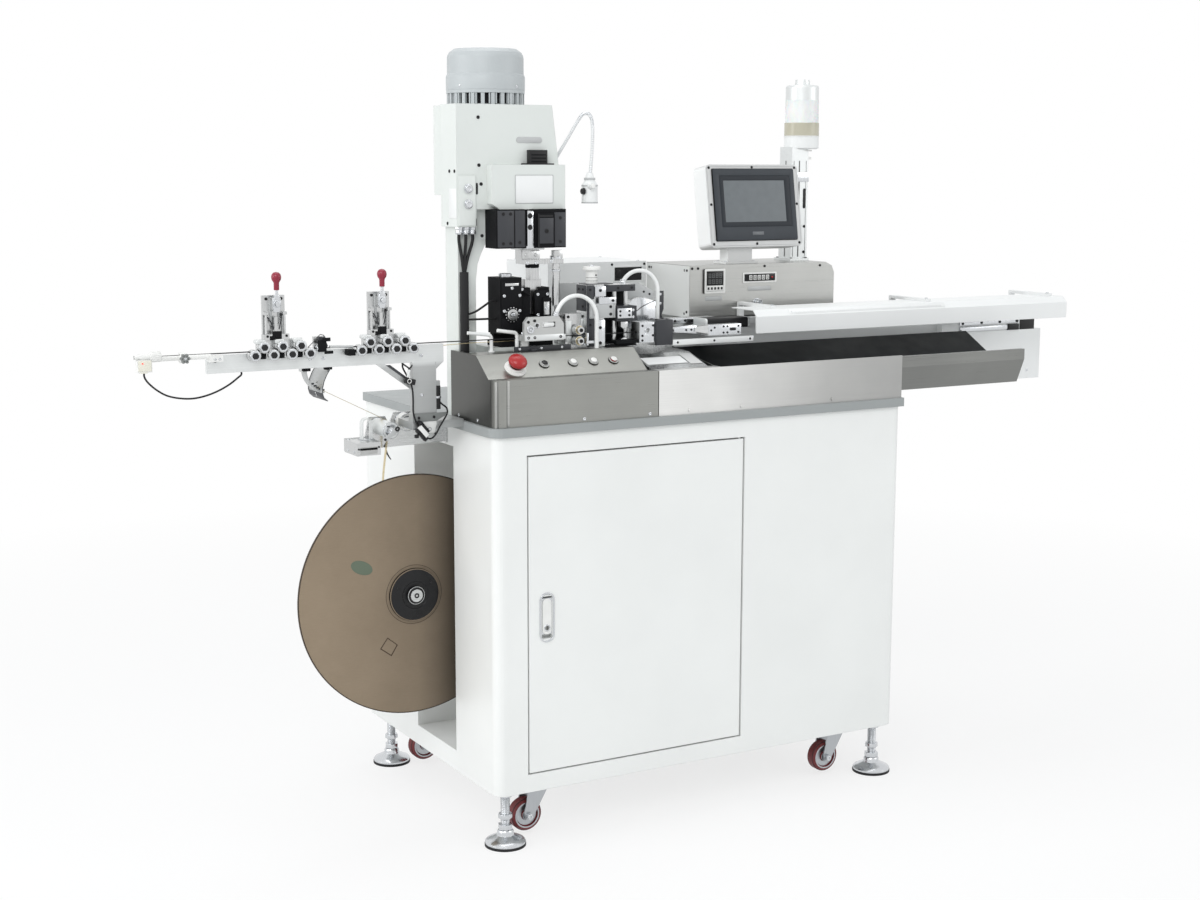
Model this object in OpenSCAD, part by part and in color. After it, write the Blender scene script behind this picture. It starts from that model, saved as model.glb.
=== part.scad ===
/* [Cabinet] */
// Width of the cabinet, along the wire line
cab_w = 920; // [900:5:980]
// Depth of the cabinet
cab_d = 604; // [590:2:660]
// Height of the body's underside above the floor
ground_gap = 105; // [104:1:115]
// Thickness of the cabinet sheet
sheet_t = 3; // [2:0.5:4]
// Radius of the vertical front corners
corner_r = 20; // [12:1:26]
// Thickness of the table plate
plate_t = 17; // [12:1:20]
// Overhang of the table plate at the front and left
plate_lip = 7; // [4:1:10]

/* [Reel niche] */
// Depth of the niche into the cabinet
niche_d = 192; // [180:2:210]
// Front wall of the niche, from the cabinet's front
niche_y0 = 177; // [172:1:185]
// Rear wall of the niche, from the cabinet's front
niche_y1 = 359; // [350:1:380]
// Height of the niche floor above the body's underside
niche_z0 = 40; // [30:1:60]
// Height of the border above the niche
niche_head = 38; // [34:1:44]

/* [Door] */
// Left edge of the door
door_x0 = 67; // [60:1:80]
// Width of the door
door_w = 467; // [440:1:480]
// Lower edge of the door above the body's underside
door_z0 = 37; // [30:1:50]
// Height of the door
door_h = 594; // [560:2:660]
// Height of the border above the door
door_head = 39; // [36:1:50]
// Depth of the folded door panel
door_t = 18; // [15:1:22]
// Gap round the door
door_gap = 3; // [3:0.5:4]
// Radius of the hinge pins
hinge_pin_r = 3; // [2.5:0.5:3.5]

/* [Stand] */
// Radius of a levelling foot's pad
foot_r = 38; // [34:1:40]
// Radius of a foot's threaded stem
stem_r = 8; // [6:0.5:10]
// Distance of a foot from the cabinet's edges
foot_inset = 31; // [28:1:36]
// Radius of a caster wheel
wheel_r = 31.5; // [28:0.5:33]
// Width of a caster wheel
wheel_w = 24; // [20:1:26]
// Clearance of the raised casters over the floor
wheel_lift = 8; // [6:1:12]

/* [Control hood] */
// Length of the hood along the front
hood_w = 341; // [338:1:350]
// Depth of the hood from front to rear
hood_d = 183; // [180:1:190]
// Height of the hood's front panel
hood_front_h = 86; // [80:1:90]
// Rise of the sloping control panel
hood_rise = 39; // [36:1:45]
// Thickness of the stainless sheet
steel_t = 2; // [1.5:0.5:2.5]
// Radius of the emergency stop button
estop_r = 16.5; // [14:0.5:18]
// Radius of a push button
button_r = 6; // [5:0.5:7]

/* [Press] */
// Height of the press over the table plate
press_h = 574; // [560:2:600]
// Width of the press head
head_w = 198; // [190:2:210]
// Thickness of the press frame
frame_t = 53; // [48:1:60]
// Width of the press column
column_w = 36; // [32:1:40]
// Radius of the motor
motor_r = 73; // [68:1:76]
// Stroke of the ram
ram_stroke = 40; // [30:1:42]
// Sliding clearance on flat guides
guide_gap = 0.3; // [0.2:0.05:0.4]
// Radial clearance of pins in bores
pin_gap = 0.05; // [0.02:0.01:0.08]

/* [Wire line] */
// Height of the wire above the table plate
wire_h = 149; // [147:1:152]
// Distance of the wire behind the cabinet's front
wire_y = 105; // [103:1:107]
// Radius of the wire
wire_r = 1; // [0.75:0.25:1.25]
// Outer radius of a straightening roller
roller_r = 10; // [9:0.25:10.5]
// Radius at the bottom of a roller's groove
groove_r = 6; // [5:0.25:6.5]
// Distance between neighbouring rollers
roller_pitch = 33; // [32:0.5:36]
// Reach of the guide arm to the left of the cabinet
arm_reach = 484; // [470:2:520]
// Height of the guide arm plate
arm_h = 31; // [28:1:36]
// Thickness of the guide arm plate
arm_t = 10; // [8:1:12]

/* [Reel] */
// Radius of the reel's discs
reel_r = 229; // [210:1:232]
// Distance between the outer faces of the reel's discs
reel_w = 36; // [32:1:44]
// Radius of the strip wound on the reel
coil_r = 72; // [60:1:90]
// Radius of the reel's hub plate
hub_r = 50; // [40:1:60]
// Radius of the reel's axle
axle_r = 12; // [10:0.5:14]

/* [Collecting side] */
// Reach of the gantry beam to the right of the cabinet
beam_reach = 556; // [500:2:600]
// Length of the collecting trough
trough_l = 760; // [700:5:800]
// Length of the long cover
cover_l = 822; // [760:2:840]
// Depth of the long cover
cover_d = 90; // [80:1:100]
// Height of the long cover's front
cover_h = 46; // [40:1:50]

/* [Instruments] */
// Width of the instrument housing
instrument_w = 360; // [340:2:366]
// Depth of the instrument housing
instrument_d = 170; // [150:2:180]
// Height of the instrument housing
instrument_h = 106; // [100:1:120]
// Width of the touch panel housing
hmi_w = 229; // [220:1:236]
// Height of the touch panel housing
hmi_h = 170; // [165:1:180]
// Backward tilt of the touch panel in degrees
hmi_tilt = 9; // [0:1:15]

/* [Hidden] */
$fn = 48;
eps = 0.01;
seat = 0.3;

// Levels and shared places
body_z0 = ground_gap;
cab_h = door_z0 + door_h + door_head;
niche_z1 = cab_h - niche_head;
body_z1 = body_z0 + cab_h;
table_z = body_z1 + plate_t;
wire_z = table_z + wire_h;
hood_front_z = table_z + hood_front_h;
hood_top_z = hood_front_z + hood_rise;
slope_y0 = 24;
slope_run = 52;
slope_y1 = slope_y0 + slope_run;
slope_a = atan2(hood_rise, slope_run);
slope_x1 = hood_w - 11;
deck_z = hood_top_z;
press_top_z = table_z + press_h;
press_y0 = 150;
press_y1 = 218;
jaw_z = deck_z + 6;
ram_x = 145;
ram_y = 150;
beam_x1 = cab_w + beam_reach;
tip_x = -arm_reach - 126;
door_x1 = door_x0 + door_w;
door_low_z = body_z0 + door_z0;
door_top_z = door_low_z + door_h;

// Reel and the two rollers that guide the terminal strip
reel_x = -74;
reel_y0 = 200;
reel_z = body_z0 + 352;
roller_a = [-136, body_z1 + 5];
roller_b = [-84, body_z1 + 11];
roller_a_r = 15;
roller_b_r = 16;
roller_plate_y = 216;

// The frame's origin lies under the middle of the whole machine
mid_x = (tip_x + beam_x1) / 2;
mid_y = cab_d / 2;

module place() {
    translate([-mid_x, -mid_y, 0]) children();
}

module block(x0, x1, y0, y1, z0, z1) {
    translate([x0, y0, z0]) cube([x1 - x0, y1 - y0, z1 - z0]);
}

module rod_x(x0, x1, y, z, r) {
    translate([x0, y, z]) rotate([0, 90, 0]) cylinder(h = x1 - x0, r = r);
}

module rod_y(y0, y1, x, z, r) {
    translate([x, y1, z]) rotate([90, 0, 0]) cylinder(h = y1 - y0, r = r);
}

module rod_z(z0, z1, x, y, r) {
    translate([x, y, z0]) cylinder(h = z1 - z0, r = r);
}

// An outline of Y and Z values, drawn out along X
module side_prism(x0, x1, points) {
    translate([x0, 0, 0]) rotate([90, 0, 90]) linear_extrude(x1 - x0) polygon(points);
}

// An outline of X and Z values, drawn out along Y
module front_prism(y0, y1, points) {
    translate([0, y1, 0]) rotate([90, 0, 0]) linear_extrude(y1 - y0) polygon(points);
}

// An outline of X and Y values, drawn up along Z
module plan_prism(z0, z1, points) {
    translate([0, 0, z0]) linear_extrude(z1 - z0) polygon(points);
}

function arc_points(cx, cy, r, a0, a1, n = 6) =
    [for (i = [0:n]) let (a = a0 + (a1 - a0) * i / n) [cx + r * cos(a), cy + r * sin(a)]];

// A rectangle with round corners at the front
function plan_outline(x0, x1, y0, y1, left_r, right_r) = concat(
    arc_points(x0 + left_r, y0 + left_r, left_r, 180, 270),
    arc_points(x1 - right_r, y0 + right_r, right_r, 270, 360),
    [[x1, y1], [x0, y1]]);

// A tube swept along a route, with its rings at right angles to the route
function unit(v) = v / norm(v);
function route_dir(p, i) =
    unit(p[min(i + 1, len(p) - 1)] - p[max(i - 1, 0)]);
function ring_side(d) = unit(cross(d, [0, 1, 0]));
function ring_points(c, d, r, n) =
    let (u = ring_side(d), v = cross(d, u))
    [for (k = [0:n - 1]) c + r * (cos(360 * k / n) * u + sin(360 * k / n) * v)];

module swept_tube(route, r, sides = 8) {
    count = len(route);
    points = [for (i = [0:count - 1]) each ring_points(route[i], route_dir(route, i), r, sides)];
    walls = [for (i = [0:count - 2]) for (k = [0:sides - 1])
        let (a = i * sides + k, b = i * sides + (k + 1) % sides)
        each [[a, a + sides, b + sides], [a, b + sides, b]]];
    start_cap = [[for (k = [0:sides - 1]) k]];
    end_cap = [[for (k = [sides - 1:-1:0]) (count - 1) * sides + k]];
    polyhedron(points, concat(walls, start_cap, end_cap), convexity = 10);
}

// Cabinet

module door_opening(depth) {
    block(door_x0 - door_gap, door_x1 + door_gap, -1, depth,
        door_low_z - door_gap, door_top_z + door_gap);
}

module cabinet_shell() place() color("white") {
    frame_d = door_t + 4;
    difference() {
        plan_prism(body_z0, body_z1, plan_outline(0, cab_w, 0, cab_d, corner_r, corner_r));
        plan_prism(body_z0 + sheet_t, body_z1 + 1, plan_outline(sheet_t, cab_w - sheet_t, sheet_t,
            cab_d - sheet_t, corner_r - sheet_t, corner_r - sheet_t));
        block(-1, sheet_t + 1, niche_y0, niche_y1, body_z0 + niche_z0, body_z0 + niche_z1);
        door_opening(sheet_t + 1);
        for (x = [foot_inset, cab_w - foot_inset], y = [foot_inset, cab_d - foot_inset])
            rod_z(body_z0 - 1, body_z0 + sheet_t + 1, x, y, stem_r + seat);
    }
    // Folded pocket of the reel niche
    difference() {
        block(1, niche_d, niche_y0 - sheet_t, niche_y1 + sheet_t,
            body_z0 + niche_z0 - sheet_t, body_z0 + niche_z1 + sheet_t);
        block(-1, niche_d - sheet_t, niche_y0, niche_y1, body_z0 + niche_z0, body_z0 + niche_z1);
    }
    // Folded returns round the door opening, with the two hinge pins
    difference() {
        block(door_x0 - door_gap - sheet_t, door_x1 + door_gap + sheet_t, 1, frame_d,
            door_low_z - door_gap - sheet_t, door_top_z + door_gap + sheet_t);
        door_opening(frame_d + 1);
    }
    for (z = [door_low_z - door_gap - 1, door_top_z - hinge_pin_l])
        rod_z(z, z + hinge_pin_l + door_gap + 1, hinge_x, hinge_y, hinge_pin_r);
    // Folded rim that carries the table plate
    difference() {
        block(1, cab_w - 1, corner_r, cab_d - 1, body_z1 - sheet_t, body_z1);
        block(26, cab_w - 26, 26, cab_d - 26, body_z1 - sheet_t - 1, body_z1 + 1);
    }
}

hinge_in = 7;
hinge_x = door_x1 - hinge_in;
hinge_y = hinge_in;
hinge_pin_l = 12;
door_skin = 2;
lock_x = 104;
lock_z = 435;
lock_w = 22;
lock_h = 80;
paddle_top_z = lock_z + lock_h / 2 - 6;

module door() place() color("white") {
    hinge_block = 2 * hinge_in;
    difference() {
        union() {
            difference() {
                plan_prism(door_low_z, door_top_z,
                    plan_outline(door_x0, door_x1, 0, door_t, 1, 3));
                block(door_x0 + door_skin, door_x1 - door_skin, door_skin, door_t + 1,
                    door_low_z + door_skin, door_top_z - door_skin);
            }
            for (z = [door_low_z, door_top_z - hinge_pin_l - 12])
                block(door_x1 - hinge_block, door_x1 - 1, 1, hinge_block, z, z + hinge_pin_l + 12);
            // Pan of the recessed handle
            block(lock_x - lock_w / 2 - 2, lock_x + lock_w / 2 + 2, 1, 15,
                lock_z - lock_h / 2 - 2, lock_z + lock_h / 2 + 2);
        }
        block(lock_x - lock_w / 2, lock_x + lock_w / 2, -1, 13,
            lock_z - lock_h / 2, lock_z + lock_h / 2);
        rod_x(lock_x - lock_w / 2 - 1, lock_x + lock_w / 2 + 1, 5, paddle_top_z, 1.5 + pin_gap);
        for (z = [door_low_z - 1, door_top_z - hinge_pin_l - 1])
            rod_z(z, z + hinge_pin_l + 2, hinge_x, hinge_y, hinge_pin_r + pin_gap);
    }
    // Bent lip in front of the handle's finger space
    block(lock_x - lock_w / 2 - 2, lock_x + lock_w / 2 + 2, -1.5, 0.5,
        lock_z + lock_h / 2, lock_z + lock_h / 2 + 2);
}

module door_handle() place() color("gainsboro") {
    x0 = lock_x - lock_w / 2 + seat;
    x1 = lock_x + lock_w / 2 - seat;
    side_prism(x0, x1, [
        [1, lock_z - lock_h / 2 + 8], [4.5, lock_z - lock_h / 2 + 8], [6, lock_z],
        [6.5, paddle_top_z - 3], [7.5, paddle_top_z], [7.5, paddle_top_z + 2],
        [5, paddle_top_z + 2.5], [1, paddle_top_z + 2]]);
    rod_x(x0 - 1, x1 + 1, 5, paddle_top_z, 1.5);
    rod_y(-0.8, 1.5, lock_x, lock_z - lock_h / 4, 6.5);
}

// Feet and casters

module foot(x, y) {
    translate([x, y, 0]) rotate_extrude() polygon([
        [0, 0], [foot_r - 2, 0], [foot_r, 3], [foot_r, 8], [foot_r - 6, 12], [16, 18],
        [14, 26], [stem_r, 30], [stem_r, ground_gap + 25], [0, ground_gap + 25]]);
    translate([x, y, ground_gap - 10]) cylinder(h = 10, r = stem_r * 1.75, $fn = 6);
}

module level_feet() place() color("silver") {
    for (x = [foot_inset, cab_w - foot_inset], y = [foot_inset, cab_d - foot_inset]) foot(x, y);
}

caster_x = 111;
caster_y = 66;
caster_trail = 22;
kingpin_r = 6;
crown_z = ground_gap - 7;
axle_z = wheel_r + wheel_lift;
caster_places = [
    [caster_x, caster_y], [cab_w - caster_x, caster_y],
    [caster_x, cab_d - caster_y], [cab_w - caster_x, cab_d - caster_y]];

module caster_plates() place() color("silver") {
    for (p = caster_places) {
        block(p[0] - 36, p[0] + 36, p[1] - 28, p[1] + 28, ground_gap - 5, ground_gap);
        rod_z(crown_z - 15, ground_gap - 1, p[0], p[1], kingpin_r);
        rod_z(crown_z - 16, crown_z - 10.5, p[0], p[1], 10);
    }
}

module caster_fork(p) {
    x = p[0];
    y = p[1];
    axle_x = x - caster_trail;
    leg_in = wheel_w / 2 + 3;
    place() color("lightgray") {
        difference() {
            union() {
                rod_z(crown_z - 10, crown_z + 1.7, x, y, 24);
                for (side = [-1, 1]) translate([0, y + side * (leg_in + 1.5) + 1.5, 0])
                    front_prism(-3, 0, [
                        [x - 19, crown_z - 1], [axle_x - 9, axle_z + 6], [axle_x - 6, axle_z - 8],
                        [axle_x + 6, axle_z - 8], [axle_x + 12, axle_z], [x + 18, crown_z - 10],
                        [x + 18, crown_z - 1]]);
            }
            rod_z(crown_z - 12, crown_z + 3, x, y, kingpin_r + pin_gap);
        }
        rod_y(y - leg_in - 5, y + leg_in + 5, axle_x, axle_z, 4);
        rod_y(y - leg_in - 8, y - leg_in - 2, axle_x, axle_z, 7);
        rod_y(y + leg_in + 2, y + leg_in + 8, axle_x, axle_z, 7);
    }
}

module caster_wheel(p) {
    place() color("maroon") translate([p[0] - caster_trail, p[1], axle_z]) rotate([90, 0, 0])
        rotate_extrude() polygon([
            [4 + pin_gap, -wheel_w / 2], [10, -wheel_w / 2], [11, -wheel_w / 2 + 5],
            [21, -wheel_w / 2 + 5], [23, -wheel_w / 2], [wheel_r - 4, -wheel_w / 2],
            [wheel_r, -wheel_w / 2 + 5], [wheel_r, wheel_w / 2 - 5], [wheel_r - 4, wheel_w / 2],
            [23, wheel_w / 2], [21, wheel_w / 2 - 5], [11, wheel_w / 2 - 5],
            [10, wheel_w / 2], [4 + pin_gap, wheel_w / 2]]);
}

// Table plate and hood

module table_plate() place() color("lightsteelblue") {
    difference() {
        plan_prism(body_z1, table_z, plan_outline(-plate_lip, cab_w, -plate_lip, cab_d,
            corner_r + plate_lip, 2));
        // Cable pass behind the press and wire chute under the cutter
        rod_z(body_z1 - 1, table_z + 1, 240, 300, 30);
    }
}

function hood_profile(t) = [
    [t, table_z - (t > 0 ? 1 : 0)], [t, hood_front_z - t], [slope_y0 + t * 0.4, hood_front_z - t],
    [slope_y1 + t * 0.4, hood_top_z - t], [hood_d + (t > 0 ? 1 : 0), hood_top_z - t],
    [hood_d + (t > 0 ? 1 : 0), table_z - (t > 0 ? 1 : 0)]];

// Puts things square on the sloping control panel, s along the slope from its lower edge
module on_slope(x, s) {
    translate([x, slope_y0 + s * cos(slope_a), hood_front_z + s * sin(slope_a)])
        rotate([slope_a, 0, 0]) children();
}

estop_x = 63;
estop_s = 24;
button_xs = [125, 185, 228, 271];
button_s = 31;
slope_out = [0, -sin(slope_a), cos(slope_a)];
cutout_y = 120;
deck_x0 = 206;
deck_x1 = deck_x0 + 264;

module control_hood() place() color("silver") {
    difference() {
        union() {
            difference() {
                intersection() {
                    side_prism(0, slope_x1, hood_profile(0));
                    plan_prism(table_z, hood_top_z + 1,
                        plan_outline(0, slope_x1, 0, hood_d, corner_r - 2, 0.5));
                }
                intersection() {
                    side_prism(steel_t, slope_x1 - steel_t, hood_profile(steel_t));
                    plan_prism(table_z - 1, hood_top_z, plan_outline(steel_t, slope_x1 - steel_t,
                        steel_t, hood_d + 2, corner_r - 2 - steel_t, 0.5));
                }
            }
            block(slope_x1 - 2, hood_w, 0, steel_t, table_z, hood_front_z);
            block(slope_x1 - 2, hood_w, 0, slope_y0, hood_front_z - steel_t, hood_front_z);
        }
        // Openings for the press, the applicator and the deck
        block(6, slope_x1 - steel_t - 2, cutout_y, hood_d + 1, hood_top_z - 4, hood_top_z + 1);
        block(deck_x0 - 3, slope_x1 + 1, 98, hood_d + 1, hood_top_z - 17, hood_top_z + 1);
        on_slope(estop_x, estop_s) translate([0, 0, -5]) cylinder(h = 10, r = 11.3);
        for (x = button_xs) on_slope(x, button_s) translate([0, 0, -5]) cylinder(h = 10, r = 8.3);
    }
    // Bodies of the switches, seated in the panel's holes
    on_slope(estop_x, estop_s) difference() {
        union() {
            translate([0, 0, -34]) cylinder(h = 36, r = 11);
            translate([0, 0, 0]) cylinder(h = 6, r = 14.5);
        }
        translate([0, 0, -20]) cylinder(h = 30, r = 6 + guide_gap);
    }
    for (x = button_xs) on_slope(x, button_s) difference() {
        union() {
            translate([0, 0, -26]) cylinder(h = 27, r = 8);
            cylinder(h = 2.5, r = button_r + 3.5);
        }
        translate([0, 0, -8]) cylinder(h = 12, r = button_r + guide_gap);
    }
}

module estop_button() place() color("red") on_slope(estop_x, estop_s) {
    translate([0, 0, 12.5]) rotate_extrude() polygon([
        [0, 0], [estop_r - 3, 0], [estop_r, 2.5], [estop_r, 6], [estop_r - 1.5, 9],
        [estop_r - 5, 11], [0, 12.5]]);
    translate([0, 0, -14]) cylinder(h = 27, r = 6);
}

module push_button(i) place() color("gainsboro") on_slope(button_xs[i], button_s) {
    translate([0, 0, -4]) cylinder(h = 8.5, r = button_r);
}

module front_panel() place() color("silver") {
    x0 = hood_w + seat;
    x1 = cab_w - 3;
    screw_xs = [for (part = [0.12, 0.325, 0.7]) x0 + part * (x1 - x0)];
    difference() {
        block(x0, x1, 0, steel_t, table_z, hood_front_z);
        for (x = screw_xs) rod_y(-1, steel_t + 1, x, table_z + 8, 2.2);
    }
    block(x0, trough_x0 - 6, 1, slope_y0, hood_front_z - steel_t, hood_front_z);
    block(x0, x1, 1, 14, table_z, table_z + steel_t);
    for (x = screw_xs) rod_y(-1.5, 1, x, table_z + 8, 4);
}

// Press

head_z = press_top_z - 190;
shelf_z = press_top_z - 109;
column_x0 = 8;
column_x1 = column_x0 + column_w;
column_y0 = 165;
low_head_x0 = 61;
low_head_x1 = 213;
motor_x = 97;
motor_y = press_y0 + motor_r + 4;
motor_ring_z = press_top_z + 27;
guide_z0 = head_z - 71;
anvil_z = jaw_z + 17;
crimper_z = anvil_z + ram_stroke + 0.5;
guide_x0 = 64;
guide_x1 = 208;

module press_frame() place() color("whitesmoke") {
    difference() {
        union() {
            // Column with its gusset up to the head, and the lower jaw
            front_prism(column_y0, press_y1, [
                [column_x0, table_z], [200, table_z], [200, jaw_z - 30], [column_x1, jaw_z - 30],
                [column_x1, head_z - 130], [column_x1 + 4, head_z - 100], [55, head_z - 82],
                [96, head_z], [96, head_z + 30], [column_x0, head_z + 30]]);
            front_prism(124, press_y1, [
                [60, jaw_z - 24], [200, jaw_z - 24], [200, jaw_z], [60, jaw_z]]);
            block(60, 78, 132, press_y1, table_z, jaw_z - 1);
            block(182, 200, 132, press_y1, table_z, jaw_z - 1);
            // Bracket and pin that carry the swing arm
            block(swing_x - 11, swing_x + 11, wire_y - 10, 130, deck_z + 0.4, jaw_z - 0.4);
            rod_z(jaw_z - 1, wire_z - 5, swing_x, wire_y, 5);
            // Upper head, with its right side sloping out to the shelf
            front_prism(press_y0, press_y1, [
                [0, head_z - 32], [40, head_z - 32], [40, head_z], [200, head_z],
                [low_head_x1 - 3, shelf_z - 10], [low_head_x1 - 4, shelf_z + 8],
                [head_w - 2, press_top_z], [0, press_top_z]]);
            // Lower front cover of the head
            front_prism(press_y0 - 20, press_y0 + 8, [
                [low_head_x0 + 16, head_z], [low_head_x1, head_z], [low_head_x1, shelf_z],
                [low_head_x0, shelf_z], [low_head_x0, head_z + 10]]);
            // Gear housing behind the head
            block(26, 172, press_y1 - 2, press_y1 + 88, head_z + 24, press_top_z);
        }
        // Chamber of the eccentric and the ram
        block(ram_x - 52, ram_x + 46, ram_y - 16 - guide_gap, press_y1 - 6, head_z + 8, shelf_z - 8);
        block(ram_x - 26 - guide_gap, ram_x + 26 + guide_gap, ram_y - 16 - guide_gap,
            ram_y + 20 + guide_gap, head_z - 1, head_z + 9);
        // Hollow of the power box behind its cover
        block(6, 34, press_y0 - 1, press_y0 + 40, head_z - 27, head_z + 58);
    }
}

gland_xs = [7, 20.5, 34];
sleeve_x = 16;

module power_box() place() color("gainsboro") {
    block(2, 37, press_y0 - 3, press_y0, head_z - 30, head_z + 62);
    for (z = [head_z + 10, head_z + 38]) rod_y(press_y0 - 8, press_y0 - 2, 21, z, 6.5);
    // Cable glands under the box, in front of the column
    for (x = gland_xs) {
        rod_z(head_z - 44, head_z - 32, x, press_y0 + 7, 5.5);
        translate([x, press_y0 + 7, head_z - 40]) cylinder(h = 5, r = 6.5, $fn = 6);
    }
}

module motor_body() color("dimgray") difference() {
    union() {
        rod_z(press_top_z, motor_ring_z - 4, motor_x, motor_y, motor_r - 8);
        for (a = [0:15:345]) translate([motor_x, motor_y, press_top_z]) rotate([0, 0, a])
            translate([motor_r - 12, -3.5, 0]) cube([11, 7, motor_ring_z - press_top_z - 5]);
        rod_z(motor_ring_z - 6, motor_ring_z, motor_x, motor_y, motor_r);
    }
    rod_z(motor_ring_z - 3, motor_ring_z + 1, motor_x, motor_y, motor_r - 14);
}

module fan_cover() color("lightgray") translate([motor_x, motor_y, motor_ring_z]) {
    rotate_extrude() polygon([
        [motor_r - 2, 0], [motor_r, 0], [motor_r, 26], [motor_r - 2, 30], [motor_r - 2, 58],
        [motor_r - 5, 68], [motor_r - 14, 75], [0, 75], [0, 73], [motor_r - 15, 73],
        [motor_r - 7, 66.5], [motor_r - 4, 57], [motor_r - 4, 29], [motor_r - 2, 25]]);
}

module press_motor() place() {
    motor_body();
    fan_cover();
}

module slide_guide() place() color("dimgray") difference() {
    union() {
        block(guide_x0, guide_x1, 118, column_y0 - seat, guide_z0, head_z);
        block(guide_x0 + 34, guide_x1, column_y0 - 1, 184, guide_z0, head_z);
        block(guide_x0 + 60, guide_x0 + 62, 112, 119, guide_z0 + 4, head_z);
        block(ram_x + 2, ram_x + 36, 113, 119, guide_z0, head_z - 8);
    }
    block(ram_x - 26 - guide_gap, ram_x + 26 + guide_gap, ram_y - 16 - guide_gap,
        ram_y + 20 + guide_gap, guide_z0 - 1, head_z + 1);
    block(ram_x - 20 - guide_gap, ram_x - 2 + guide_gap, 110, ram_y, guide_z0 - 1, head_z + 1);
}

module press_ram() place() color("silver") {
    z0 = guide_z0 - 22;
    block(ram_x - 26, ram_x + 26, ram_y - 16, ram_y + 20, guide_z0 - 4, head_z + 10 + ram_stroke);
    block(ram_x - 20, ram_x - 2, 122, ram_y, guide_z0 - 2, head_z - 3);
    block(ram_x - 22, ram_x + 12, ram_y - 20, ram_y + 10, z0, guide_z0 - 3);
    block(ram_x - 22, 206, ram_y - 26, ram_y + 8, z0 - 8, z0);
    rod_z(z0 - 86, z0 - 7, 195, ram_y - 16, 7.5);
    rod_z(z0 - 1, guide_z0 - 6, 195, ram_y - 16, 9);
    // Eccentric shaft's yoke block at the top of the ram
    block(ram_x - 40, ram_x + 40, ram_y + 2, ram_y + 18, head_z + 10 + ram_stroke - 1,
        head_z + 18 + ram_stroke);
    // Applicator ram with its head, shank and crimper
    block(ram_x - 1, ram_x + 17, ram_y - 10, ram_y + 8, z0 - 38, z0 - 7);
    block(ram_x - 9, ram_x + 25, ram_y - 4, ram_y + 14, crimper_z + 12, z0 - 37);
    block(ram_x + 2, ram_x + 14, ram_y - 4, ram_y + 2, crimper_z, crimper_z + 13);
}

module applicator_body() place() color("dimgray") {
    x0 = ram_x - 69;
    x1 = ram_x + 39;
    y0 = ram_y - 24;
    channel_y0 = ram_y - 4 - guide_gap;
    z_low = jaw_z + 44;
    difference() {
        union() {
            block(x0, x1, y0, ram_y + 34, jaw_z, jaw_z + 10);
            block(x0 + 4, x1 - 2, ram_y - 14, ram_y + 30, z_low, jaw_z + 108);
            block(x0, x0 + 44, ram_y - 22, ram_y + 30, z_low - 20, jaw_z + 128);
            block(x0 + 4, x1 - 2, ram_y + 16, ram_y + 30, jaw_z + 9, z_low + 1);
        }
        block(ram_x - 9 - guide_gap, ram_x + 25 + guide_gap, channel_y0,
            ram_y + 14 + guide_gap, z_low - 1, jaw_z + 130);
        block(ram_x - 3, ram_x + 19, ram_y - 15, ram_y, z_low - 1, jaw_z + 130);
        rod_y(y0 - 1, y0 + 9, x0 + 22, jaw_z + 96, 4);
    }
    // Anvil under the crimper
    block(ram_x + 2, ram_x + 14, ram_y - 5, ram_y + 3, jaw_z + 9, anvil_z);
    // Ratchet wheel and knurled setting disc at the side
    rod_y(ram_y - 26, ram_y - 21, x0 + 22, jaw_z + 60, 11);
    rod_z(jaw_z + 127, jaw_z + 135, x0 + 22, ram_y + 2, 10);
}

// Guide arm and straighteners

arm_y0 = wire_y + 10;
arm_y1 = arm_y0 + arm_t;
arm_top_z = wire_z - 4;
arm_low_z = arm_top_z - arm_h;
post_x0 = -108;
post_x1 = -61;
bracket_z1 = table_z + 5;
lower_row_z = wire_z - wire_r - groove_r;
upper_row_z = wire_z + wire_r + groove_r;
bank_xs = [-405, -211];
plate_dx = 22;
plate_w = 40;
pivot_dx = 21;
plate_z1 = wire_z + 94;

chute_c = [-262, arm_low_z - 4];
chute_r = 44;

module guide_arm() place() color("gainsboro") {
    difference() {
        front_prism(arm_y0, arm_y1, [
            [-arm_reach, arm_low_z], [-arm_reach, arm_top_z], [-46, arm_top_z],
            [-46, arm_low_z - 1], [post_x1, arm_low_z - 14], [post_x1, bracket_z1],
            [post_x0, bracket_z1], [post_x0, arm_low_z]]);
        rod_y(arm_y0 - 1, arm_y1 + 1, -arm_reach + 14, arm_top_z - 8, 2.6);
    }
    // Brace between arm and post
    front_prism(arm_y0 + 2, arm_y1 - 2, [
        [-176, arm_low_z], [-160, arm_low_z], [post_x0, arm_low_z - 36], [post_x0, arm_low_z - 50]]);
    // Foot bracket that bolts to the table plate's edge
    block(post_x0, -plate_lip, arm_y0, 182, bracket_z1 - 14, bracket_z1);
    // Clip for the cable at the post's right side
    block(post_x1 - 1, post_x1 + 8, arm_y0 + 1, arm_y1 - 1, wire_z - 80, wire_z - 71);
    front_prism(arm_y1 - 1, arm_y1 + 8, [
        [post_x0, bracket_z1 - 1], [post_x1, bracket_z1 - 1], [post_x1, bracket_z1 + 60],
        [post_x0, bracket_z1 + 14]]);
    // Curved chute that turns the terminal strip up behind the arm
    front_prism(arm_y1 + 1, arm_y1 + 22, concat(
        arc_points(chute_c[0], chute_c[1], chute_r, 180, 258, 10),
        arc_points(chute_c[0], chute_c[1], chute_r - 3, 258, 180, 10)));
    block(chute_c[0] - chute_r - 4, chute_c[0] - chute_r + 1, arm_y1 - 1, arm_y1 + 22,
        chute_c[1] - 4, arm_top_z - 16);
}

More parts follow.
